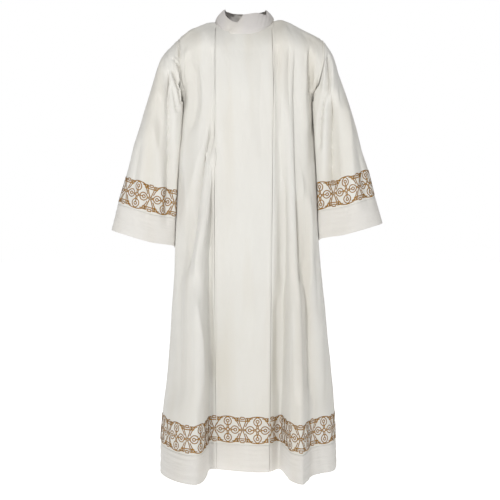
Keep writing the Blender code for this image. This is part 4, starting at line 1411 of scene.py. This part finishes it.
def cloth_material(name, colour, shade, seed, hem_share):
    """Plain woven cotton blend: fine weave, soft sheen, slightly uneven tone and long streaks of painted
    beige shade.
    """
    material, tree, shader = new_material(name)
    feed(tree, shader, CLOTH_FINISH)
    in_space = add_node(tree, "TexCoord", {}, "Object")
    on_cloth = add_node(tree, "TexCoord", {}, "UV")
    patches = noise(tree, in_space, PATCH_SCALE + seed, PATCH_DETAIL)
    tone = mix(tree, patches, (*colour, 1.0), (*shade, 1.0))
    # Vertical streaks of painted beige shade, standing in for the tinted shade in the folds
    shifted = {"Vector": in_space, "Scale": STREAK_SCALE, "Location": (seed, 2.0 * seed, STREAK_PLACE)}
    shade_streaks = noise(tree, add_node(tree, "Mapping", shifted, "Vector"), 1.0, STREAK_DETAIL)
    spread = {
        "Value": shade_streaks,
        "From Min": STREAK_RANGE[0],
        "From Max": STREAK_RANGE[1],
        "To Max": STREAK_SHARE,
    }
    tone = mix(tree, add_node(tree, "MapRange", spread, "Result"), tone, (*SHADE_STREAK_TINT, 1.0))
    doubled = {
        "Value": add_node(tree, "SeparateXYZ", {"Vector": on_cloth}, "Y"),
        "From Min": HEM_DEPTH - HEM_LINE_HALF,
        "From Max": HEM_DEPTH + HEM_LINE_HALF,
        "To Min": hem_share,
        "To Max": 0.0,
    }
    doubled = add_node(tree, "MapRange", doubled, "Result")
    tone = mix(tree, doubled, tone, (*HEM_TONE, 1.0))
    waves = {"Vector": on_cloth, "Scale": WEAVE_SCALE, "Distortion": WEAVE_DISTORTION, "Detail": 1.0}
    threads = [
        add_node(tree, "TexWave", waves, "Fac", wave_type="BANDS", bands_direction=way) for way in "XY"
    ]
    weave = product(tree, *threads)
    tone = mix(tree, WEAVE_SHADE, tone, weave, blend_type="MULTIPLY")
    bump = {}
    for scale, on_hem, depth in UNEVEN:
        lift = noise(tree, on_cloth, scale, UNEVEN_DETAIL)
        if on_hem:
            lift = product(tree, lift, doubled)
        bump.update({"Strength": 1.0, "Distance": depth, "Height": lift})
        bump = {"Normal": add_node(tree, "Bump", bump, "Normal")}
    bump.update({"Strength": WEAVE_BUMP_STRENGTH, "Distance": WEAVE_BUMP, "Height": weave})
    feed(tree, shader, {"Base Color": tone, "Normal": add_node(tree, "Bump", bump, "Normal")})
    return material


def thread_material(name, colour, roughness, sheen):
    """Shiny embroidery or plain sewing thread."""
    material, tree, shader = new_material(name)
    place = add_node(tree, "TexCoord", {}, "Object")
    uneven = noise(tree, place, THREAD_NOISE_SCALE, 2.0)
    darker = (*[c * (1 - THREAD_TONE_CHANGE) for c in colour], 1.0)
    lighter = (*[c * (1 + THREAD_TONE_CHANGE) for c in colour], 1.0)
    finish = {
        "Roughness": roughness,
        "Sheen Weight": sheen,
        "Specular IOR Level": THREAD_SPECULAR,
        "Base Color": mix(tree, uneven, darker, lighter),
    }
    feed(tree, shader, finish)
    return material


def new_object(name, corners, faces, materials, indices=None, uv=None):
    """A mesh object from arrays of points and four-sided faces."""
    mesh = bpy.data.meshes.new(name)
    mesh.from_pydata(corners.tolist(), [], faces.tolist())
    for material in materials:
        mesh.materials.append(material)
    if indices is not None:
        mesh.polygons.foreach_set("material_index", np.asarray(indices, np.int32))
    mesh.polygons.foreach_set("use_smooth", np.ones(len(faces), bool))
    if uv is not None:
        layer = mesh.uv_layers.new(name="cloth")
        corner = np.empty(len(mesh.loops), np.int32)
        mesh.loops.foreach_get("vertex_index", corner)
        layer.data.foreach_set("uv", uv[corner].ravel())
    mesh.update()
    mesh.set_sharp_from_angle(angle=math.radians(SHARP_ANGLE))
    obj = bpy.data.objects.new(name, mesh)
    bpy.context.scene.collection.objects.link(obj)
    return obj


def shell(name, points, normals, closed, material, inner_extra):
    """A cloth piece: an outer and an inner face, joined round its rims."""
    rows, columns = points.shape[:2]
    outer = points + normals * SHELL / 2
    inner = points - normals * (SHELL / 2 + inner_extra)[..., None]
    number = np.arange(rows * columns).reshape(rows, columns)
    if closed:
        number = closed_up(number)
    four = (number[:-1, :-1], number[:-1, 1:], number[1:, 1:], number[1:, :-1])
    a, b, c, d = (part.ravel() for part in four)
    count = rows * columns
    faces = [np.stack([a, b, c, d], -1), np.stack([a, d, c, b], -1) + count]
    for rim in rim_loops(rows, columns, closed):
        here = np.array(rim)
        there = np.roll(here, -1)
        faces.append(np.stack([there, here, here + count, there + count], -1))
    faces = np.concatenate(faces)
    corners = np.concatenate([outer.reshape(-1, 3), inner.reshape(-1, 3)])
    u = np.broadcast_to(arc(points[rows // 2]), (rows, columns))
    uv = np.stack([u, from_edge(points, "rim")], -1).reshape(-1, 2)
    square = np.cross(corners[b] - corners[a], corners[d] - corners[a])
    if np.einsum("ij,ij->", square, normals.reshape(-1, 3)[a]) < 0:
        faces = faces[:, ::-1]
    return new_object(name, corners, faces, [material], uv=np.concatenate([uv, uv]))


class Band:
    """Places on a cloth near its rim, by length round it and height above the rim."""

    def __init__(self, sheet, columns=slice(None), closed=False):
        points, normals = sheet
        both = np.concatenate([points, normals, from_edge(points, "rim")[..., None]], axis=-1)[:, columns]
        if closed:
            both = closed_up(both)
        self.closed = closed
        self.levels = np.arange(0.0, BAND_TOP, BAND_TABLE_STEP)
        read = [read_at(self.levels, both[::-1, k, -1], both[::-1, k, :-1]) for k in range(both.shape[1])]
        self.table = np.stack(read, axis=1)
        middle = np.argmin(np.abs(self.levels - (BAND_BOTTOM + BAND_HEIGHT / 2)))
        self.around = arc(self.table[middle, :, :3])

    def at(self, around, height):
        """Points and directions at these places."""
        if self.closed:
            around = self.around[0] + (around - self.around[0]) % (self.around[-1] - self.around[0])
        column = np.interp(around, self.around, np.arange(len(self.around)))
        level = np.clip(height / BAND_TABLE_STEP, 0, len(self.levels) - 1 - BAND_TABLE_MARGIN)
        c = np.minimum(column.astype(int), len(self.around) - 2)
        r = level.astype(int)
        cf = (column - c)[:, None]
        rf = (level - r)[:, None]
        upper = self.table[r, c] * (1 - cf) + self.table[r, c + 1] * cf
        lower = self.table[r + 1, c] * (1 - cf) + self.table[r + 1, c + 1] * cf
        both = upper * (1 - rf) + lower * rf
        return both[:, :3], unit(both[:, 3:])


def ribbon(points, normals, closed_line):
    """Corners, faces and colours of one raised thread: brown sides as painted shade, a gold top as a painted
    highlight.
    """
    if closed_line:
        tangent = np.roll(points, -1, axis=0) - np.roll(points, 1, axis=0)
    else:
        tangent = np.gradient(points, axis=0)
    side = unit(np.cross(normals, unit(tangent))) * THREAD_WIDTH
    base = points + normals * (SHELL / 2 - THREAD_SINK)
    top = points + normals * (SHELL / 2 + THREAD_HEIGHT)
    inset = side * THREAD_TOP_SHARE
    corners = np.stack((base - side / 2, top - inset, top + inset, base + side / 2), axis=1)
    nearer = np.arange(corners[..., 0].size).reshape(corners.shape[:2])
    further = np.roll(nearer, -1, axis=0)
    if not closed_line:
        nearer = nearer[:-1]
        further = further[:-1]
    quads = np.stack([nearer[:, :3], nearer[:, 1:], further[:, 1:], further[:, :3]], -1)
    # Brown on the sides is painted shade; gold on top is a painted highlight
    colours = np.tile([0, 1, 0], len(nearer))
    return corners.reshape(-1, 3), quads.reshape(-1, 4), colours


def oval(x, y, radius, tip_angle=None):
    """A closed loop of chart points in mm, with a soft tip where an angle is given."""
    turn = np.linspace(0, 2 * math.pi, OVAL_STEPS, endpoint=False)
    reach = np.full(OVAL_STEPS, float(radius))
    if tip_angle is not None:
        away = (turn - math.radians(tip_angle) + math.pi) % (2 * math.pi) - math.pi
        reach *= 1 + BUD_TIP * bell(away, 0, TIP_WIDTH)
    return np.stack([x + reach * np.cos(turn), y + reach * np.sin(turn)], -1), True


def stroke(points, across=1, up=1, x=0.0):
    """An open chart line, mirrored where a sign is minus, and moved along by x."""
    return np.array(points) * (across, up) + (x, MIDDLE), False


def chart():
    """One repeat of the band, in mm: a bud-ended cross at 0 and a flared cross half a repeat on."""
    lines = [oval(0, MIDDLE, RING_RADIUS)]
    for x, y, away_angle in BUDS:
        turn = math.radians(away_angle)
        along = np.array((math.cos(turn), math.sin(turn)))
        lines.append(oval(x, MIDDLE + y, BUD_RADIUS, away_angle))
        lines.append(oval(*((x, MIDDLE + y) + along * KNOT_PLACE), KNOT_RADIUS))
        lines.append(stroke([(x, y) - along * back for back in BUD_STROKE]))
    reach = np.linspace(-1, 1, BORDER_STEPS)
    t = np.linspace(0, 1, SCROLL_STEPS)
    short, foot, rise, power = BORDER_ARC
    border = np.stack([reach * (HALF - short), foot + rise * (1 - reach**2) ** power], -1)
    start, end, top, fall, bend, swell = SCROLL
    scroll_y = top - fall * t**bend + swell * np.sin(math.pi * t)
    scroll = np.stack([start + (HALF - end - start) * t, scroll_y], -1)
    for up in (-1, 1):
        lines.append(stroke(border, 1, up))
        lines += [stroke(shape, 1, up, HALF) for shape in FLARE_WHOLE]
        for across_sign in (-1, 1):
            lines.append(stroke(scroll, across_sign, up))
            lines += [stroke(shape, across_sign, up) for shape in QUARTER_STROKES]
            lines += [stroke(shape, across_sign, up, HALF) for shape in FLARE_STROKES]
            x, y, radius = FLARE_DOT
            lines.append(oval(HALF + across_sign * x, MIDDLE + up * y, radius))
    return lines


def resample(line, closed_line, step):
    """Points at even steps along a chart line."""
    if closed_line:
        line = np.concatenate([line, line[:1]])
    total = arc(line)
    count = max(2, int(round(total[-1] / step)) + 1)
    even = read_at(np.linspace(0, total[-1], count), total, line)
    return even[:-1] if closed_line else even


def runs_of(inside):
    """Runs of neighbouring points that are inside, at least two in each."""
    number = np.flatnonzero(inside)
    runs = np.split(number, np.flatnonzero(np.diff(number) > 1) + 1)
    return [run for run in runs if len(run) > 1]


def embroidery(name, band, low, high, phase, repeat, threads):
    """The embroidered band on one cloth, between two places round it."""
    made = []
    count = 0
    first = math.floor((low - phase) / repeat) - 1
    last = math.ceil((high - phase) / repeat) + 1
    for number in range(first, last + 1):
        for line, closed_line in chart():
            scaled = line * (MM * repeat / REPEAT, MM) + (phase + number * repeat, BAND_BOTTOM)
            even = resample(scaled, closed_line, MOTIF_STEP)
            inside = (even[:, 0] >= low) & (even[:, 0] <= high)
            for run in runs_of(inside):
                points, normals = band.at(*even[run].T)
                corners, faces, colours = ribbon(points, normals, closed_line and inside.all())
                made.append((corners, faces + count, colours))
                count += len(corners)
    corners, faces, colours = (np.concatenate(part) for part in zip(*made))
    return new_object(name, corners, faces, threads, colours)


def stitches(name, lines, material):
    """Short raised stitches along lines of points and directions."""
    corners = []
    faces = []
    for points, normals in lines:
        total = arc(points)
        for start in np.arange(STITCH_START, total[-1] - STITCH_LENGTH, STITCH_PITCH):
            at = start + np.array(STITCH_PLACES) * STITCH_LENGTH
            place = read_at(at, total, points)
            facing = unit(read_at(at, total, normals))
            side = unit(np.cross(facing, unit(place[-1] - place[0]))) * STITCH_WIDTH / 2
            lift = np.array([-STITCH_SINK, STITCH_HEIGHT, STITCH_HEIGHT, -STITCH_SINK])[:, None] + SHELL / 2
            base = place + facing * (SHELL / 2 - STITCH_BASE_SINK)
            block = np.stack([base - side, place + facing * lift, base + side], axis=1)
            number = np.arange(block[..., 0].size).reshape(block.shape[:2])
            number += number.size * len(corners)
            for k in range(2):
                quads = [number[:-1, k], number[:-1, k + 1], number[1:, k + 1], number[1:, k]]
                faces.append(np.stack(quads, -1))
            corners.append(block.reshape(-1, 3))
    return new_object(name, np.concatenate(corners), np.concatenate(faces), [material])


def column_line(points, normals, column, rows):
    """A line beside the first or last column of a grid, a stitch's inset in from it."""
    beside = 1 if column == 0 else -2
    inward = unit(points[:rows, beside] - points[:rows, column])
    return points[:rows, column] + inward * STITCH_INSET, normals[:rows, column]


def hem_line(points, normals, closed):
    """The line of hem stitches round a cloth."""
    above = from_edge(points, "rim")
    height = HEM_DEPTH - STITCH_BELOW_HEM_LINE
    both = np.concatenate([points, normals], axis=-1)[::-1]
    columns = range(points.shape[1])
    line = np.array([read_at(height, above[::-1, k], both[:, k]) for k in columns])
    if closed:
        line = np.concatenate([line, line[:1]])
    return line[:, :3], unit(line[:, 3:])


def stitch_lines(name, points, normals):
    """Every stitched line of one cloth."""
    lines = [] if name == "collar_band" else [hem_line(points, normals, "sleeve" in name)]
    lines += [(points[row], normals[row]) for row in STITCH_ROWS.get(name, ())]
    lines += [column_line(points, normals, *place) for place in STITCH_COLUMNS.get(name, ())]
    return lines


def all_bands(sheets):
    """The embroidered bands: place reader, phase and repeat of each, by node name."""
    under = COLUMNS_PER_SPAN // 2
    panel = Band(sheets["front_centre_panel"])
    panel.around = panel.around - panel.around[-1] / 2
    left = Band(sheets["front_side_left"], slice(None, -under))
    left.around += panel.around[0] - left.around[-1]
    right = Band(sheets["front_side_right"], slice(under, None))
    right.around += panel.around[-1]
    front = (("front_centre_panel", panel), ("front_side_left", left), ("front_side_right", right))
    bands = {name: (band, REPEAT / 2, REPEAT) for name, band in front}
    bands["back_panel"] = (Band(sheets["back_panel"]), BACK_PHASE, REPEAT)
    for name, phase in CUFF_PHASE.items():
        band = Band(sheets[name], closed=True)
        bands[name] = (band, phase, band.around[-1] / round(band.around[-1] / REPEAT))
    return bands


def slot_of(name):
    """Material slot of a node."""
    kind = "sleeve" if "sleeve" in name else "collar" if "collar" in name else "body"
    return kind + "_cloth"


def add_extra(piece, name, extras):
    """Let embroidery or stitches ride with their cloth."""
    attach(piece, "root")
    extras[name].append(piece)


def add_cloth(name, points, normals, looks):
    """The shown cloth of one node."""
    extra = np.where(from_edge(points, "rim") < HEM_DEPTH, HEM_EXTRA, 0.0)
    if name == "collar_band":
        extra = np.full(points.shape[:2], COLLAR_EXTRA)
    if name == "front_centre_panel":
        extra = np.maximum(extra, np.where(from_sides(points) < PANEL_TURN, PANEL_TURN_EXTRA, 0.0))
    piece = shell(name + "_cloth", points, normals, "sleeve" in name, looks[slot_of(name)], extra)
    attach(piece, "root")
    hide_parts(name)
    return piece


def build():
    """Make every shown piece."""
    looks = {slot: cloth_material(slot + "_look", *look) for slot, look in CLOTHS.items()}
    # brown is the embroidery thread's painted shade and gold its painted highlight
    brown, gold, sewing = (thread_material(name, *look) for name, look in THREADS.items())
    sheets = all_sheets()
    made = {name: add_cloth(name, *sheet, looks) for name, sheet in sheets.items()}
    extras = {name: [] for name in sheets}
    for name, (band, phase, repeat) in all_bands(sheets).items():
        gap = 0.0 if band.closed else BAND_END_GAP
        ends = (band.around[0] + gap, band.around[-1] - gap)
        worked = embroidery(name + "_embroidery", band, *ends, phase, repeat, [brown, gold])
        add_extra(worked, name, extras)
    for name, sheet in sheets.items():
        # The darker sewing thread also paints the shade line along each seam
        add_extra(stitches(name + "_stitches", stitch_lines(name, *sheet), sewing), name, extras)


def place_towards(obj, place, target):
    """Put a lamp or the camera in the scene, turned towards a point."""
    obj.location = place
    obj.rotation_euler = (Vector(target) - Vector(place)).to_track_quat("-Z", "Y").to_euler()
    bpy.context.scene.collection.objects.link(obj)


def studio():
    """Pale floor, soft light from the front and upper left, and the photograph's camera."""
    world = bpy.data.worlds.new("studio")
    bpy.context.scene.world = world
    world.use_nodes = True
    tree = world.node_tree
    ground = tree.nodes["Background"]
    feed(tree, ground, {"Color": WHITE, "Strength": WORLD_LIGHT})
    shown = add_node(tree, "Background", {"Color": WHITE, "Strength": 1.0}, "Background")
    seen = add_node(tree, "LightPath", {}, "Is Camera Ray")
    parts = {"Fac": seen, 1: ground.outputs["Background"], 2: shown}
    sky = add_node(tree, "MixShader", parts, "Shader")
    feed(tree, tree.nodes["World Output"], {"Surface": sky})
    for name, place, size, power in LIGHTS:
        lamp = bpy.data.lights.new(name, "AREA")
        lamp.shape = "DISK"
        lamp.size = size
        lamp.energy = power
        place_towards(bpy.data.objects.new(name, lamp), place, LIGHT_TARGET)
    mesh = bpy.data.meshes.new("floor")
    corners = [(x * FLOOR_REACH, y * FLOOR_REACH, FLOOR_Z) for x, y in ((-1, -1), (1, -1), (1, 1), (-1, 1))]
    mesh.from_pydata(corners, [], [(0, 1, 2, 3)])
    floor = bpy.data.objects.new("floor", mesh)
    material, tree, shader = new_material("pale_floor")
    pale = {
        "Base Color": (*FLOOR_COLOUR, 1.0),
        "Roughness": FLOOR_ROUGHNESS,
        "Emission Color": WHITE,
        "Emission Strength": FLOOR_GLOW,
    }
    feed(tree, shader, pale)
    mesh.materials.append(material)
    bpy.context.scene.collection.objects.link(floor)
    camera_data = bpy.data.cameras.new("camera")
    camera_data.lens = CAMERA_LENS
    camera_data.sensor_width = CAMERA_SENSOR
    camera = bpy.data.objects.new("camera", camera_data)
    rise = math.radians(CAMERA_RISE)
    offset = Vector((0.0, -math.cos(rise), math.sin(rise))) * CAMERA_DISTANCE
    place_towards(camera, Vector(CAMERA_TARGET) + offset, CAMERA_TARGET)
    bpy.context.scene.camera = camera
    bpy.context.scene.view_settings.view_transform = "Standard"


build()
studio()
bpy.context.view_layer.update()
